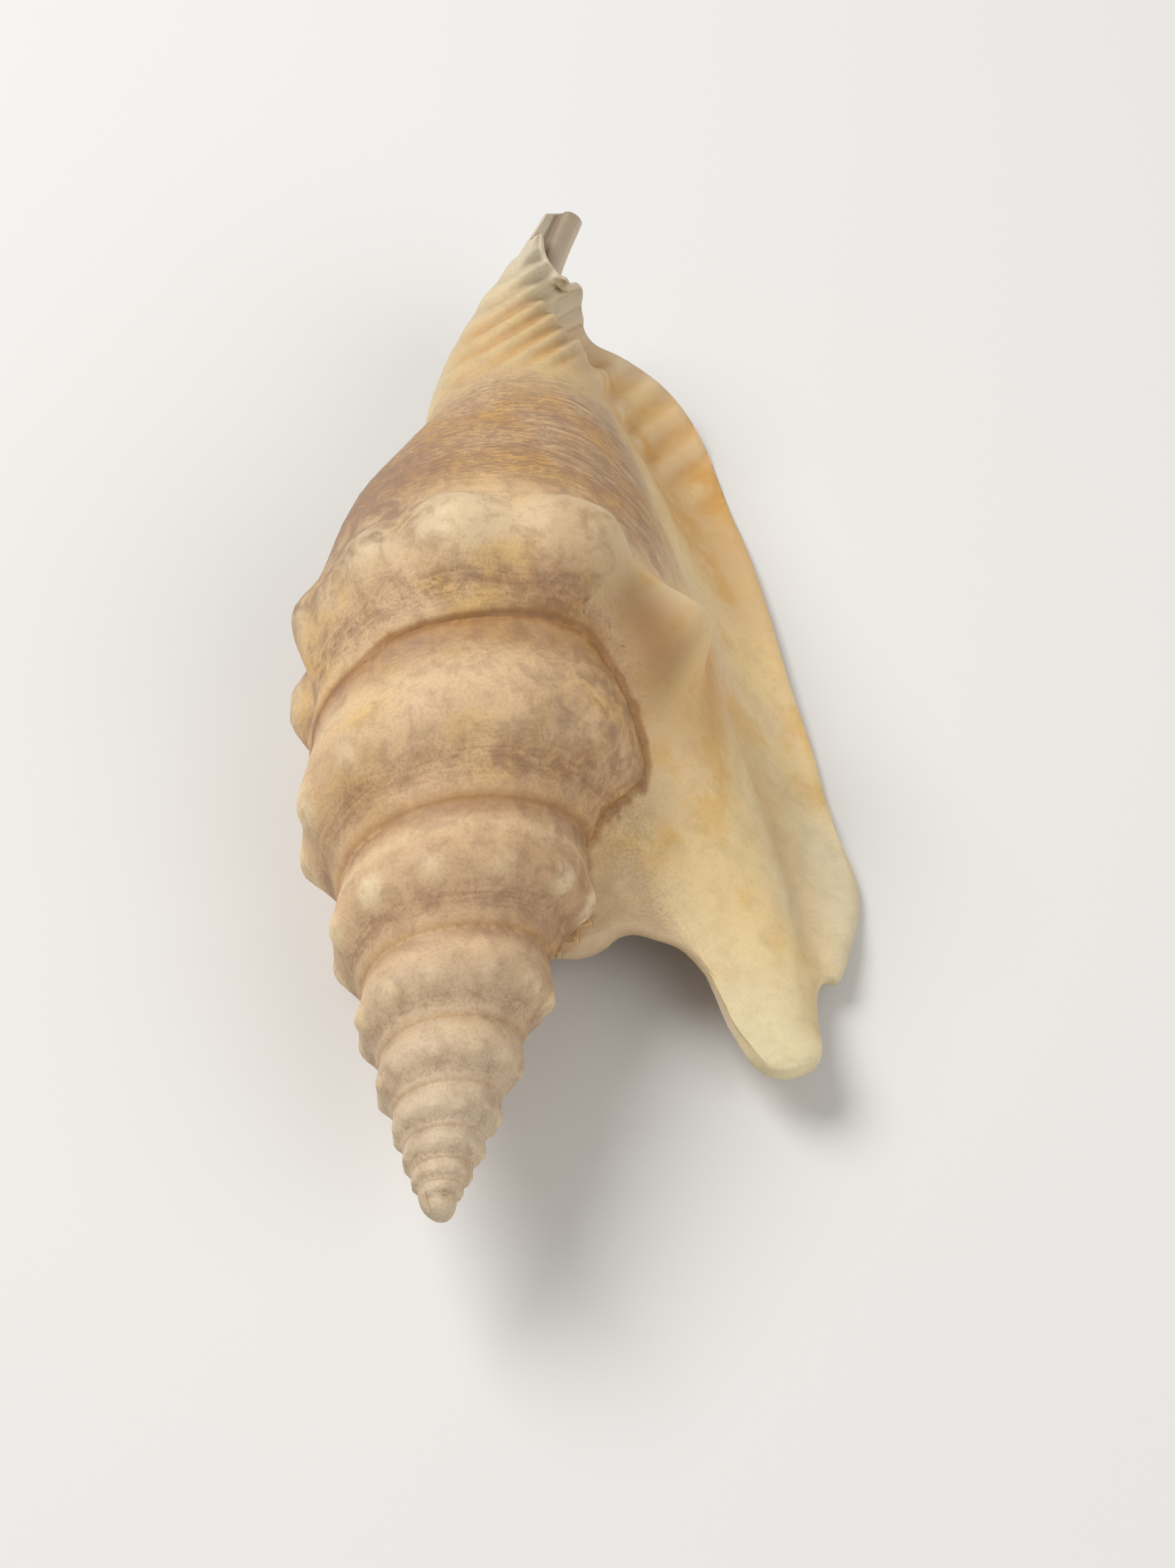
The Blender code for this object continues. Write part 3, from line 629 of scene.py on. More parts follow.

# %% [markdown]
# ## The lip
# The lip of a grown shell is a thick sheet. It follows the coil for part of a turn, then swings out to
# a free edge with a finger behind, a notch, a bulging side and the canal's crimped fan. A flat cut-out
# bent into place would lose its thickness and the curve where it meets the coil. So it is a loft too:
# its rows run from the coil's last profile to a listed edge.

# %% The lip's edge
# x, y, z and row: from the start buried in the spire, round the finger, the hook and the side lobe,
# along the side to the notch, then up the fan to the canal
LIP_EDGE = [
    (6, 35.4, 16.5, 0), (11, 35.7, 14.8, .011), (14.2, 36.5, 13.9, .018), (15.9, 37.6, 13.5, .022),
    (16.7, 38.6, 13.2, .026), (17.7, 39.0, 12.9, .031), (20.9, 38.7, 11.8, .047), (24.2, 38.0, 10.6, .068),
    (27.3, 34.8, 9.4, .09), (29.4, 30.6, 8.5, .11), (31.0, 26.8, 7.7, .127), (32.8, 25.0, 7, .138),
    (35.8, 24.5, 7, .152), (38.4, 26.2, 6.5, .165), (39.2, 28.6, 6.5, .177), (39.0, 33, 6, .192),
    (39.2, 36.4, 5.5, .205), (40, 38.4, 4.8, .215), (40.8, 38.6, 4.4, .221), (41.5, 38.5, 4, .227),
    (42.2, 39.9, 3.5, .235), (43.5, 44.6, 1.8, .258), (44.7, 51.6, .8, .30), (43.8, 55.3, 1, .325),
    (42.2, 59.5, 1.6, .355), (40.1, 70.1, 2, .42), (37.3, 80.7, 3, .48), (35.5, 89.5, 3, .53),
    (33, 100.2, 2.5, .58), (31.0, 106.8, 2, .615), (29.4, 112.6, 2, .65), (27.6, 117.5, 3, .68),
    (25.0, 121.1, 5, .705), (22.1, 123.1, 7, .73), (17.2, 124.5, 10, .765), (14.0, 124.5, 12, .79),
    (12.6, 124.6, 14.5, .815), (12.5, 124.1, 16.5, .835), (12.1, 124.3, 19, .86), (12.2, 124.6, 20.5, .87),
    (11.9, 124.6, 21.4, .877), (11.2, 124.0, 22.1, .884), (10.7, 122.8, 23, .892), (10.3, 122.8, 24, .902),
    (9.2, 123.1, 25.2, .92), (7.4, 125.4, 26.5, .94), (7.1, 128.4, 27.0, .96),
]
# the edge without the finger and the hook, towards which the lip grows first: it shares these rows
BASE_ROWS = (0, .3, .355, .42, .48, .53, .58, .65, .765, .815, .92, .96)
LIP_BASE = [point for point in LIP_EDGE if point[3] in BASE_ROWS] + [
    (15.9, 37.6, 13.6, .022), (20.9, 39.1, 11.8, .047), (25.2, 38.9, 10.4, .072), (33.5, 36.5, 7.5, .145),
    (40, 38.4, 5, .207), (43.4, 43, 2.3, .25), (25.0, 120.9, 5, .705), (12.1, 124.0, 20, .865),
]
LIP_BASE.sort(key=lambda point: point[3])
FINGER_RIDGE = [(24, 62), (29, 52), (33, 42), (35, 33), (35.6, 25)]
FINGER_VALLEY = [(31, 70), (35, 60), (38, 50), (39.3, 40), (39, 30)]
SIDE_SWELL = [(41.5, 61), (42.8, 52), (42.8, 45)]
FOLD_FADE = (0.3, 0.75)  # along the lip, where its folds set in
# height, width and path of each fold
LIP_FOLDS = [(1.1, 6.0, FINGER_RIDGE), (-1.0, 2.0, FINGER_VALLEY), (0.9, 2.6, SIDE_SWELL)]


def lip_edge(row):
    edge = np.array(LIP_EDGE, float)
    base = np.array(LIP_BASE, float)
    plain = spline(base[:, 3], base[:, :3], row)
    return plain, spline(edge[:, 3], edge[:, :3], row) - plain


def distance_to(points, path):
    """Distance in plan from points to a path of (x, y)."""
    best = np.full(points.shape[:-1], 1e9)
    for a, b in zip(path[:-1], path[1:]):
        a = np.array(a, float)
        d = np.array(b, float) - a
        t = np.clip(((points[..., :2] - a) @ d) / (d @ d), 0, 1)
        best = np.minimum(best, np.linalg.norm(points[..., :2] - a - t[..., None] * d, axis=-1))
    return best


def grid_normals(points):
    n = np.cross(np.gradient(points, axis=0), np.gradient(points, axis=1))
    return n / (np.linalg.norm(n, axis=-1, keepdims=True) + 1e-9)


# %% Loft the lip
def lip_surface(row):
    """Outer face without relief: columns from the coil's end to the edge, and each column's turn."""
    turn_end = 0.17 + 0.15 * smooth(0.55, 0.97, row)
    round_columns = 9 * LIP_COLUMNS // 20
    sink = 1.3 * (1 - smooth(0, 0.03, row))
    sheet = []
    turns = []
    for i in range(round_columns + 1):
        turn = LEAVE + (turn_end - LEAVE) * i / round_columns
        radius, length = profile(turn, row)
        sheet.append(place(radius - sink * smooth(0, 12, i), length, turn))
        turns.append(turn)
    root = sheet[-1]
    radius, length = profile(turn_end - 0.004, row)
    tangent = unit(place(radius - sink, length, turn_end - 0.004) - root)
    edge, detail = lip_edge(row)
    chord = edge - root
    reach = np.linalg.norm(chord, axis=-1, keepdims=True)
    out = unit(chord * [1, 1, 0.05])
    n = LIP_COLUMNS - round_columns
    for i in range(1, n + 1):
        t = (i / n) ** 1.2
        p = (2 * t**3 - 3 * t**2 + 1) * root + (t**3 - 2 * t**2 + t) * 0.95 * reach * tangent
        p = p + (3 * t**2 - 2 * t**3) * edge + (t**3 - t**2) * 1.1 * reach * out
        sheet.append(p + detail * smooth(0.25, 1.0, t) ** 1.2)
        turns.append(turn_end - 0.2 * t)
    return np.array(sheet), np.array(turns)


def lip_folds(points, along):
    """The finger's ridge, the valley beside it and the swelling of the side lobe."""
    fade = smooth(*FOLD_FADE, along)
    height = sum(rise * bell(distance_to(points, path), width) for rise, width, path in LIP_FOLDS)
    return fade * height


VALLEY_WALL = 1.2  # extra thickness under the valley
SOFTEN_PASSES = 120
ROOT_DEPTH = 1.8  # the sheet starts this far inside the coil
RIM_STEPS = 4
RIM_REACH = 0.5


def build_lip():
    skin = Skin()
    row = LIP_STEPS
    plain, turns = lip_surface(row)
    along = np.linspace(0, 1, LIP_COLUMNS + 1)[:, None] * np.ones(len(row))
    # the finger's foot runs softly into the wing
    soft = (smooth(0.35, 0.5, along) * smooth(1.0, 0.85, along) ** 2 * smooth(0.30, 0.22, row))[:, 1:-1, None]
    for _ in range(SOFTEN_PASSES):
        plain[:, 1:-1] += soft * ((plain[:, :-2] + plain[:, 2:]) / 2 - plain[:, 1:-1])
    normals = grid_normals(plain)
    height = knobs(plain)
    outer = plain + normals * (height + lip_folds(plain, along))[..., None]
    rim_start, _ = body_columns(np.array([[LEAVE]]), row[None, :])
    outer[0] = rim_start[0]
    outer[0, 0] = place(*suture(np.array(LEAVE)), LEAVE)
    wall = WALL + (LIP_EDGE_WALL - WALL) * smooth(0.5, 1, along)
    wall = wall + (CANAL_WALL - wall) * smooth(0.72, 0.92, row)
    wall = wall + POSTERIOR_CALLUS * (1 - smooth(0.015, 0.045, row)) * smooth(0.45, 1, along)
    valley = distance_to(plain, FINGER_VALLEY)
    wall = wall + VALLEY_WALL * smooth(*FOLD_FADE, along) * bell(valley, 2.4)
    # under the wing the thickness is measured downwards, which keeps the finger's flank clean
    upright = (smooth(0.45, 0.75, along) * (1 - smooth(0.20, 0.30, row)))[..., None]
    inward = normals * (1 - upright) + np.array([0, 0, 1.0]) * upright
    inner = plain - unit(inward) * wall[..., None]
    behind = place(*profile(LEAVE + 0.02, row), LEAVE + 0.02)
    inward = -np.array([math.cos(2 * math.pi * LEAVE), 0, math.sin(2 * math.pi * LEAVE)])
    inner[0] = behind + inward * ROOT_DEPTH
    blend = smooth(0, 0.15, along)[..., None]
    outward = (1 - blend) * -inward + blend * normals
    values = {"turn": turns, "row": row, "along": along, **zones(row)}
    start = skin.add((behind + inward * (ROOT_DEPTH / 2))[None], turn=LEAVE, row=row)
    crease = smooth(*FOLD_FADE, along) * bell(valley, 2.2)
    top = skin.add(outer, knob=height / 4, fold=crease, out_x=outward[..., 0], out_y=outward[..., 1],
                   out_z=outward[..., 2], **values)
    # the free edge is rounded
    centre = (outer[-1] + inner[-1]) / 2
    half = (outer[-1] - inner[-1]) / 2
    beyond = outer[-1] - outer[-2]
    beyond *= RIM_REACH / np.linalg.norm(beyond, axis=-1, keepdims=True)
    arc = math.pi * np.arange(1, RIM_STEPS)[:, None, None] / RIM_STEPS
    rim = skin.add(centre + half * np.cos(arc) + beyond * np.sin(arc), turn=turns[-1], row=row, along=1.0)
    top = np.concatenate([start, top, rim])
    pick_columns = sorted(set(range(0, len(inner), 2)) | {len(inner) - 1})
    pick_rows = sorted(set(range(0, len(row), 2)) | {len(row) - 1})
    under_points = inner[pick_columns][:, pick_rows]
    under = skin.add(under_points, inside=1.0, turn=turns[pick_columns][:, pick_rows], row=row[pick_rows],
                     along=along[pick_columns][:, pick_rows])
    skin.quads(top)
    skin.quads(under, flip=True)
    skin.zip_rows(top[-1], under[-1])
    skin.zip_rows(under[0], top[0])
    skin.zip_rows(under[:, 0], top[:, 0])
    skin.zip_rows(top[:, -1], under[:, -1])
    return skin


lip = build_lip()
print("lip:", len(lip.all_points()), "points,", len(lip.faces), "faces")

# %% [markdown]
# ## Ribs, cords and growth lines
# Ribs fan over the neck, thin spiral cords run round every whorl, and growth lines cross them, one for
# each stop in the shell's growth. A bump map alone would leave the outline smooth. So a second tree
# moves each point outwards by a sum of waves in `turn` and `row`, each limited to its zone.

# %% Raise the fine relief along the surface
LAST_RIB = (4.3, 6.0)  # the slices where the ribs fade out, counted towards the wing
FOLD_START = 9.4
FOLD_PITCH = 2.3  # in slices, from one growth fold to the next
COIL_WELD = 0.003
LIP_WELD = 0.0005


def relief_tree():
    sheet, given = geometry_sheet("Ribs and growth lines", {
        "Rib height": 0.32, "Slices per x": RIB_SLICES[0], "Slices per y": RIB_SLICES[1],
        "Slices per z": RIB_SLICES[2], "First slice": RIB_SLICES[3], "Fold height": 0.5,
        "Cord height": 0.09, "Cords": 90.0, "Growth height": 0.05, "Growth lines": 60.0,
        "Roughness": 0.16, "Roughness size": 5.0})

    def value(name):
        return sheet.add("GeometryNodeInputNamedAttribute", {"data_type": "FLOAT"}, {"Name": name})

    turn, row, along, inside = (value(name) for name in ("turn", "row", "along", "inside"))
    position = sheet.add("GeometryNodeInputPosition")
    x, y, z = sheet.split(position)
    # the fan's ribs lie like parallel slices through the shell
    slices = x * given["Slices per x"] + y * given["Slices per y"]
    slices = slices + z * given["Slices per z"] + given["First slice"]
    rib_wave = (slices * (2 * math.pi)).math("COSINE") * -1.0
    rib_zone = row.window(0.50, 0.64, 0.93, 0.955) * x.smooth(-5.0, 5.0)
    rib_zone = rib_zone * turn.fall(0.36, 0.52)
    ribs = given["Rib height"] * rib_wave * rib_zone * slices.fall(*LAST_RIB)
    folds = ((slices - FOLD_START) * (2 * math.pi / FOLD_PITCH)).math("COSINE")
    fold_zone = row.window(0.58, 0.66, 0.75, 0.78) * along.smooth(0.45, 0.85)
    whorl = row.fall(0.40, 0.60)
    spun = sheet.add("ShaderNodeCombineXYZ", None, [turn * 12.0, row * given["Cords"], 0.0])
    cords = sheet.noise(spun, 1.0, "2D", Detail=3.0) - 0.5
    cords = cords * whorl * along.fall(0.3, 0.6) * 2.0
    waver = sheet.noise(position, 0.25, Detail=2.0) - 0.5
    growth = ((turn * given["Growth lines"] + waver * 0.8) * (2 * math.pi)).math("SINE")
    growth_zone = (1.0 - turn.smooth(0.0, 0.6) * 0.6) * (1.0 - row.smooth(0.42, 0.58) * 0.9)
    rough = sheet.noise(position, 1.0 / given["Roughness size"], Detail=4.0, Roughness=0.55) - 0.5
    height = ribs + given["Fold height"] * folds * fold_zone + given["Cord height"] * cords
    height = height + given["Growth height"] * growth * growth_zone + given["Roughness"] * rough * 2.0
    height = height * (1.0 - inside)
    out = sheet.add("ShaderNodeCombineXYZ", None, [value(f"out_{axis}") for axis in "xyz"])
    offset = sheet.add("ShaderNodeVectorMath", {"operation": "SCALE"}, {"Vector": out, "Scale": height})
    rib = (ribs + folds * fold_zone * given["Rib height"]) / given["Rib height"]
    kept = sheet.store(given["Geometry"], rib=rib)
    moved = sheet.add("GeometryNodeSetPosition", None, {"Geometry": kept, "Offset": offset})
    return finish_tree(sheet, moved, shell_material)


relief = relief_tree()


def weld(obj, distance):
    """Merge points that share a place, and turn the faces outwards."""
    bm = bmesh.new()
    bm.from_mesh(obj.data)
    bmesh.ops.remove_doubles(bm, verts=bm.verts, dist=distance)
    bmesh.ops.recalc_face_normals(bm, faces=bm.faces)
    if bm.calc_volume(signed=True) < 0:
        bmesh.ops.reverse_faces(bm, faces=bm.faces)
    open_edges = sum(1 for edge in bm.edges if len(edge.link_faces) != 2)
    print(obj.name, "faces:", len(bm.faces), "open edges:", open_edges)
    bm.to_mesh(obj.data)
    bm.free()


def raised_body(name, skin, distance):
    obj = linked(name, skin.mesh(name))
    weld(obj, distance)
    plain = obj.data
    obj.data = grow(obj, relief, {})
    bpy.data.meshes.remove(plain)
    return obj


shell = raised_body("shell", coil, COIL_WELD)
lip_sheet = raised_body("lip_sheet", lip, LIP_WELD)

# %% [markdown]
# ## One body
# On the real shell the lip and the coil are one piece. A Boolean union joins the two closed meshes and
# leaves the crease where the lip was laid against the spire. New points appear along that crease, so
# every point then takes its values from the nearest point of the two meshes before the union. Where
# neighbours then come from different turns lies the crease, and it is darkened like any other seam.

# %% Join the lip to the coil
CREASE_HALF = 0.2  # half the width of the crease's dark line
CREASE_FADE = 1.0


def source_values(*objects):
    points = np.concatenate([read_points(obj.data) for obj in objects])
    values = {name: np.concatenate([read_values(obj.data, name) for obj in objects]) for name in VALUE_NAMES}
    return points, values


def join(target, other):
    modifier = target.modifiers.new("Join", "BOOLEAN")
    modifier.operation = "UNION"
    modifier.solver = "EXACT"
    modifier.object = other
    evaluated = target.evaluated_get(bpy.context.evaluated_depsgraph_get())
    joined = bpy.data.meshes.new_from_object(evaluated)
    target.modifiers.remove(modifier)
    bpy.data.objects.remove(other, do_unlink=True)
    return joined


def nearest(points, targets):
    """The number of the target nearest to each point, and how far away it is."""
    tree = KDTree(len(targets))
    for number, target in enumerate(targets):
        tree.insert(target, number)
    tree.balance()
    found = [tree.find(point) for point in points]
    return [number for _, number, _ in found], np.array([away for _, _, away in found])


def give_values(mesh, points, values):
    numbers, _ = nearest(read_points(mesh), points)
    for name, column in values.items():
        write_values(mesh, name, column[numbers])


def mark_crease(mesh):
    """The line where the lip is laid on the spire counts as seam, fading over about a millimetre."""
    edges = np.empty(len(mesh.edges) * 2, int)
    mesh.edges.foreach_get("vertices", edges)
    edges = edges.reshape(-1, 2)
    names = ("turn", "row", "along", "seam", "inside")
    turn, row, along, seam, inside = (read_values(mesh, name) for name in names)
    a, b = edges.T
    laid = (np.abs(turn[a] - turn[b]) > 0.5) & (np.abs(along[a] - along[b]) > 0.02)
    points = read_points(mesh)
    crease = points[np.unique(edges[laid])]
    _, away = nearest(points, crease)
    near = bell(np.maximum(away - CREASE_HALF, 0), CREASE_FADE) * smooth(0.5, 0.4, row)
    write_values(mesh, "seam", np.maximum(seam, near))
    write_values(mesh, "inside", inside * (1 - near))
    print("crease:", len(crease), "points")


before_points, before_values = source_values(shell, lip_sheet)
joined = join(shell, lip_sheet)
give_values(joined, before_points, before_values)
mark_crease(joined)
shell.data = joined
print("joined:", len(joined.vertices), "points,", len(joined.polygons), "faces")

# %% [markdown]
# A shell on a table rests on three worn points: two on the edge of the lip or canal side and one on
# the belly. Two small turns set it down on them, and whatever would sink below the table is flat.

# %% Set the shell down
SHARP_ANGLE = math.radians(70)


def set_down(mesh):
    pitch = Matrix.Rotation(math.radians(REST_PITCH), 3, "X")
    roll = Matrix.Rotation(math.radians(REST_ROLL), 3, "Y")
    points = (read_points(mesh) @ np.array(pitch @ roll).T + REST_SHIFT) * MM
    points[:, 2] = np.maximum(points[:, 2], 0)
    points = np.clip(points, LOW, HIGH)
    mesh.vertices.foreach_set("co", points.ravel())
    mesh.update()


set_down(shell.data)
bm = bmesh.new()
bm.from_mesh(shell.data)
bmesh.ops.triangulate(bm, faces=bm.faces)
bmesh.ops.dissolve_degenerate(bm, edges=bm.edges, dist=1e-7)
print("closed:", all(len(edge.link_faces) == 2 for edge in bm.edges), "triangles:", len(bm.faces))
bm.to_mesh(shell.data)
bm.free()
shell.data.shade_smooth()
shell.data.set_sharp_from_angle(angle=SHARP_ANGLE)

# %% [markdown]
# ## The colours
# This shell is cream and pale yellow, lavender-brown on the slopes between the knobs, orange in the
# seams, ochre on neck and wing, and almost white where it is thick. A picture wrapped round it would
# stretch at every knob, so the colours are computed from the values that the points carry, and broken
# up with noise. Each layer is laid over the last with its own mask.
# Some layers are painted shade: part of the ramps' brown, the band where whorls overlap, the spire's right
# side, the corner by the spire, under the knobs, the lip's rear rim and the canal's trough.

# %% Paint the shell
# red, green and blue as on a printed colour chart, 0 to 255
SPIRE_TAN = (200, 164, 124)
APEX_BEIGE = (208, 188, 160)
WHORL_PALE = (228, 198, 156)
# brown of stains, also used as painted shade on the ramps, the spire's right side and where whorls overlap
STAIN_AND_SHADE = (148, 106, 76)
# ochre-brown of painted shade, in the corner by the spire and under the knobs
SHADE_OCHRE = (156, 112, 66)
KNOB_CREAM = (232, 208, 168)
YELLOW = (228, 184, 104)
OCHRE = (206, 154, 80)
SEAM_OCHRE = (172, 128, 74)
SEAM_ORANGE = (146, 96, 54)
SPECK = (104, 76, 58)
LAVENDER = (148, 118, 96)
FAN_WHITE = (214, 202, 166)
FAN_BLUE = (204, 204, 190)
WING_BUFF = (238, 210, 156)
WING_PINK = (230, 202, 160)
PALE_CORNER = (244, 224, 184)
FINGER_GREEN = (226, 214, 174)
LOBE_WHITE = (220, 208, 176)
FOLD_BROWN = (206, 164, 106)
# tan of painted shade on the lip's rounded rear rim
REAR_RIM_SHADE = (196, 164, 132)
TIP_GREY = (208, 198, 182)
# grey-brown of painted shade inside the canal's open trough
TROUGH_SHADE = (146, 128, 106)
INNER = (222, 204, 182)


def paint(material, shader):
    sheet = NodeSheet(material.node_tree)

    def value(name):
        return sheet.add("ShaderNodeAttribute", {"attribute_name": name}, output=2)

    position = sheet.add("ShaderNodeTexCoord", output=3)
    x, y, _ = sheet.split(position)

    def noise(per_mm, detail=3.0, roughness=0.55, distortion=0.0):
        return sheet.noise(position, per_mm / MM, Detail=detail, Roughness=roughness, Distortion=distortion)

    def spun(turns, rows, detail, roughness, distortion):
        """Streaks drawn out round the whorls."""
        at = sheet.add("ShaderNodeCombineXYZ", None, [turn * turns, row * rows, 0.0])
        return sheet.noise(at, 1.0, "2D", Detail=detail, Roughness=roughness, Distortion=distortion)

    names = ("turn", "row", "along", "inside", "knob", "seam", "ramp", "wall", "fold", "rib")
    turn, row, along, inside, knob, seam, ramp, wall, fold, rib = (value(name) for name in names)
    cloud, patches = noise(0.05), noise(0.12, 4.0, 0.6)
    mottle, grain = noise(0.4, 6.0, 0.65, 0.4), noise(3.0)
    streaks = spun(14.0, 130.0, 4.0, 0.6, 0.6)
    striae = spun(46.0, 200.0, 5.0, 0.65, 1.3)
    pits = noise(1.1, 2.0, 0.5)

    # spire: beige at the apex, then tan, paler in front of the knobs, browner on the ramps from stains and
    # painted shade
    grown = y.smooth(LOW[1] + 6 * MM, LOW[1] + 38 * MM)
    coat = Coat(sheet, sheet.mix(grown, APEX_BEIGE, SPIRE_TAN))
    coat.lay(cloud.smooth(0.35, 0.7) * 0.35, WHORL_PALE)
    body = y.smooth(LOW[1] + 34 * MM, LOW[1] + 56 * MM)
    coat.lay(body * 0.6, WHORL_PALE)
    coat.lay(body * patches.smooth(0.42, 0.66) * 0.6, YELLOW)
    coat.lay(wall * (patches.smooth(0.35, 0.55) * 0.5 + 0.3) * grown, WHORL_PALE)
    # the ramps' brown is stain, and partly also painted shade of slopes turned away from the lamp
    ramp_stain_and_shade = ramp * (streaks.smooth(0.3, 0.7) * 0.6 + mottle.smooth(0.35, 0.65) * 0.5)
    ramp_stain_and_shade = ramp_stain_and_shade * (patches.smooth(0.3, 0.6) * 0.5 + 0.5) * (grown * 0.85 + 0.05)
    coat.lay((ramp_stain_and_shade * 0.85).math("MINIMUM", 0.9), STAIN_AND_SHADE)
    # painted shade: the spire's right side, turned to the wing and away from the lamp, is darkened with brown
    # mottling
    right_side_shade = x.smooth(-12 * MM, 4 * MM) * grown * (1.0 - row.smooth(0.2, 0.35) * turn.fall(0.9, 1.1))
    coat.lay(right_side_shade * (mottle.smooth(0.3, 0.65) * 0.5 + 0.1), STAIN_AND_SHADE)
    # painted shade: each whorl darkens towards the one laid over it, as the overlap shades it
    overlap_shade = row.window(0.22, 0.295, 0.31, 0.33) * turn.smooth(1.0, 1.2) * grown
    coat.lay(overlap_shade * (mottle.smooth(0.3, 0.7) * 0.35 + 0.4), STAIN_AND_SHADE)
    # knobs are rubbed pale
    tops = (row.smooth(0.08, 0.135) + turn.smooth(0.95, 1.05)).math("MINIMUM", 1.0)
    rubbed = tops * knob.smooth(0.12, 0.75) * (0.9 - mottle.smooth(0.45, 0.75) * 0.5)
    rubbed = rubbed * (1.0 - turn.smooth(2.0, 4.5) * 0.7)
    coat.lay((rubbed * 1.1).math("MINIMUM", 0.95), KNOB_CREAM)
    # front slope of the body whorl: wavy lavender striae over ochre
    wavering = row + (patches - 0.5) * 0.22
    slope = row.smooth(0.19, 0.27) * wavering.fall(0.46, 0.68) * along.fall(0.6, 0.95)
    slope = slope * (1.0 - turn.smooth(0.55, 0.8) * 0.6) * turn.fall(1.3, 1.4)
    coat.lay(slope * (patches.smooth(0.35, 0.6) * 0.55 + 0.15), OCHRE)
    greyer = turn.smooth(0.28, 0.42) * 0.3
    coat.lay(slope * (striae.smooth(0.40, 0.58) * 0.65 + greyer + 0.12), LAVENDER)
    # painted shade: the corner between the spire and the wing is darkened ochre-brown; the flank further
    # round is lavender
    corner_shade = row.fall(0.02, 0.10) * turn.smooth(0.02, 0.10) * turn.fall(0.17, 0.24)
    corner_shade = corner_shade * (mottle.smooth(0.25, 0.65) * 0.5 + 0.35)
    flank = turn.window(0.23, 0.32, 0.50, 0.62) * row.smooth(0.08, 0.16) * row.fall(0.3, 0.4)
    coat.lay(flank * (mottle.smooth(0.3, 0.65) * 0.55 + 0.3), LAVENDER)
    # neck and fan
    neck = wavering.smooth(0.42, 0.64) * turn.fall(1.3, 1.4)
    coat.lay(neck * 0.75, FAN_WHITE)
    orange = row.window(0.48, 0.62, 0.72, 0.86) * turn.fall(0.30, 0.44)
    valley = rib.fall(-0.7, 0.7)
    coat.lay(orange * (valley * 0.35 + 0.45) * (patches * 0.6 + 0.5), OCHRE)
    coat.lay(neck * turn.smooth(0.42, 0.56) * turn.fall(0.6, 0.8) * 0.7, FAN_BLUE)
    coat.lay(neck * valley * row.smooth(0.62, 0.70) * 0.2, LAVENDER)
    # wing
    wing = (along - row.smooth(0.15, 0.25) * 0.14).smooth(0.46, 0.60)
    wing = wing * (1.0 - row.smooth(0.62, 0.82) * along.fall(0.6, 0.9))
    flare = Coat(sheet, sheet.mix(cloud.smooth(0.38, 0.6), WING_PINK, WING_BUFF))
    flare.lay(patches.smooth(0.48, 0.66) * 0.65, YELLOW)
    flare.lay(row.smooth(0.42, 0.60) * (patches.smooth(0.4, 0.65) * 0.4 + 0.25), OCHRE)
    flare.lay(row.fall(0.04, 0.10) * mottle.smooth(0.35, 0.6) * 0.25, LAVENDER)
    flare.lay(valley * row.smooth(0.46, 0.58) * along.smooth(0.6, 0.85) * 0.45, OCHRE)
    finger = along.smooth(0.66, 0.86) * y.fall(LOW[1] + 26 * MM, LOW[1] + 44 * MM)
    flare.lay(finger * (0.85 - patches.smooth(0.5, 0.7) * 0.4), FINGER_GREEN)
    lobe = along.smooth(0.80, 0.97) * row.smooth(0.19, 0.24) * row.fall(0.29, 0.42)
    flare.lay(lobe * 0.85, LOBE_WHITE)
    rear_corner = y.fall(LOW[1] + 32 * MM, LOW[1] + 50 * MM) * along.smooth(0.68, 0.85)
    flare.lay(rear_corner * row.fall(0.08, 0.15) * 0.8, PALE_CORNER)
    flare.lay(fold * 0.35, FOLD_BROWN)
    # painted shade on the rounded rear rim of the lip
    flare.lay(along.smooth(0.80, 1.0) * row.fall(0.05, 0.09) * 0.6, REAR_RIM_SHADE)
    coat.lay(wing * row.fall(0.78, 0.86), flare.colour)
    # painted shade laid into the corner between the spire and the wing
    coat.lay(corner_shade, SHADE_OCHRE)
    # painted shadow under the largest knob and beside the knob next to it
    knob_shadow = turn.bell(0.110, 0.035) * row.bell(0.115, 0.045)
    knob_shadow = knob_shadow + turn.bell(0.175, 0.02) * row.bell(0.15, 0.06) * 0.5
    coat.lay(knob_shadow * 0.85, SHADE_OCHRE)
    coat.lay(turn.bell(0.072, 0.02) * row.bell(0.22, 0.07) * 0.85, OCHRE)
    # seams, specks, and painted shade in the open trough of the canal
    coat.lay(seam * (grown * 0.2 + 0.1) * (1.0 - along.smooth(0.2, 0.4) * 0.6), OCHRE)
    line = seam.smooth(0.5, 0.98) * (mottle * 0.7 + 0.3) * (grown * 0.5 + 0.2) * (1.0 + body * 0.6)
    coat.lay(line.math("MINIMUM", 0.75), sheet.mix(body * 0.75, SEAM_OCHRE, SEAM_ORANGE))
    specks = pits.smooth(0.60, 0.78) * (ramp + slope * 0.4) * body
    coat.lay((specks * 0.6).math("MINIMUM", 0.6), SPECK)
    coat.lay(y.smooth(HIGH[1] - 15 * MM, HIGH[1] - 7 * MM) * 0.6, TIP_GREY)
    coat.lay(row.smooth(0.90, 0.95) * turn.smooth(0.95, 1.1) * 0.8, TROUGH_SHADE)
    coat.lay(inside * seam.fall(0.05, 0.5) * 0.9, INNER)
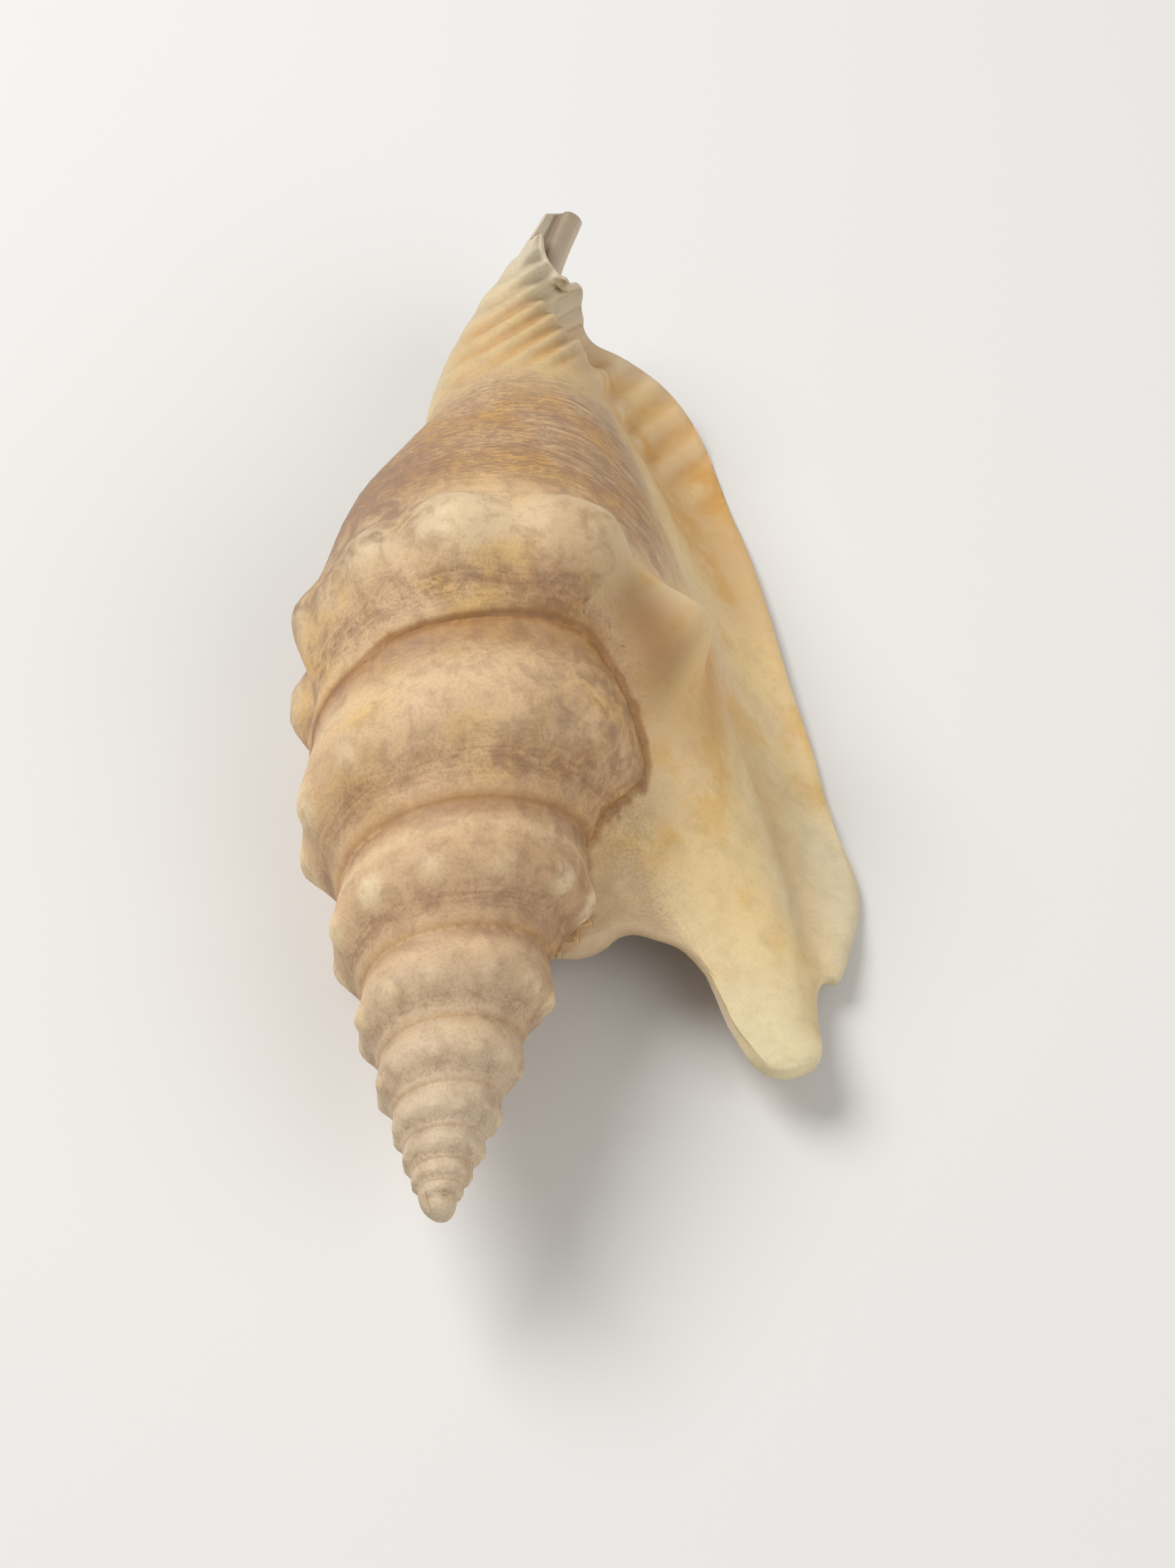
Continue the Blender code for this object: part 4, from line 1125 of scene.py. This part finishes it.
    # fine clouds and grain everywhere
    freckled = (1.0 - wing * 0.6 - neck * 0.5) * (1.0 - rubbed * 0.55)
    coat.lay((mottle.smooth(0.42, 0.7) * 0.4 * freckled).math("MAXIMUM", 0.0), LAVENDER)
    coat.lay(grain.smooth(0.42, 0.72) * (ramp * 0.2 + freckled * 0.22), STAIN_AND_SHADE)
    sheet.tree.links.new(coat.colour.socket, shader.inputs["Base Color"])
    height = grain * 0.4 + mottle + striae * slope - pits.smooth(0.58, 0.7) * (ramp + slope * 0.3) * body
    bump = sheet.add("ShaderNodeBump", None, {"Strength": 0.3, "Distance": 0.12 * MM, "Height": height})
    sheet.tree.links.new(bump.socket, shader.inputs["Normal"])


paint(shell_material, shell_shader)
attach(shell, "root")
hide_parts("conch_shell")
print("shell painted:", len(shell_material.node_tree.nodes), "nodes")

# %% [markdown]
# ## Table, light and camera
# A pale floor that runs on to a pale background keeps the eye on the shell. One large soft lamp above
# and to the left models the knobs, a weaker one opposite keeps the right side readable.

# %% Floor
floor_material, floor_shader = matt("Floor", 0.9, 0.1)
floor_shader.inputs["Base Color"].default_value = (0.78, 0.77, 0.75, 1)
bpy.ops.mesh.primitive_plane_add(size=6, location=(0, 0, 0))
floor = bpy.context.object
floor.name = "floor"
floor.data.materials.append(floor_material)

# %% Light
def lamp(name, size, energy, place_at, aim):
    data = bpy.data.lights.new(name, "AREA")
    data.shape = "DISK"
    data.size = size
    data.energy = energy
    obj = linked(name, data)
    obj.location = place_at
    obj.rotation_euler = (Vector(place_at) - aim).to_track_quat("Z", "Y").to_euler()


MIDDLE = Vector((LOW + HIGH) / 2)
lamp("key", 0.6, 6.8, (-0.50, 0.28, 0.72), MIDDLE)
lamp("fill", 0.9, 3.3, (0.58, -0.45, 0.65), MIDDLE)
world = bpy.data.worlds.new("Room")
world.use_nodes = True
background = world.node_tree.nodes["Background"].inputs
background["Color"].default_value = (0.95, 0.93, 0.9, 1)
background["Strength"].default_value = 0.35
scene.world = world
scene.view_settings.view_transform = "Standard"

# %% Camera
CAMERA_PLACE = np.array([-11.69, -195.91, 283.72]) * MM
CAMERA_AIM = np.array([0.73, -13.62, 18.0]) * MM
CAMERA_ROLL = math.radians(5.36)
camera = linked("camera", bpy.data.cameras.new("camera"))
camera.data.lens = 68.36
camera.data.sensor_fit = "AUTO"
camera.data.clip_start = 0.01
back = Vector(CAMERA_PLACE - CAMERA_AIM)
camera.matrix_world = (Matrix.Translation(CAMERA_PLACE) @ back.to_track_quat("Z", "Y").to_matrix().to_4x4()
                       @ Matrix.Rotation(CAMERA_ROLL, 4, "Z"))
scene.camera = camera
print("camera distance in mm:", round(back.length * 1000, 1))
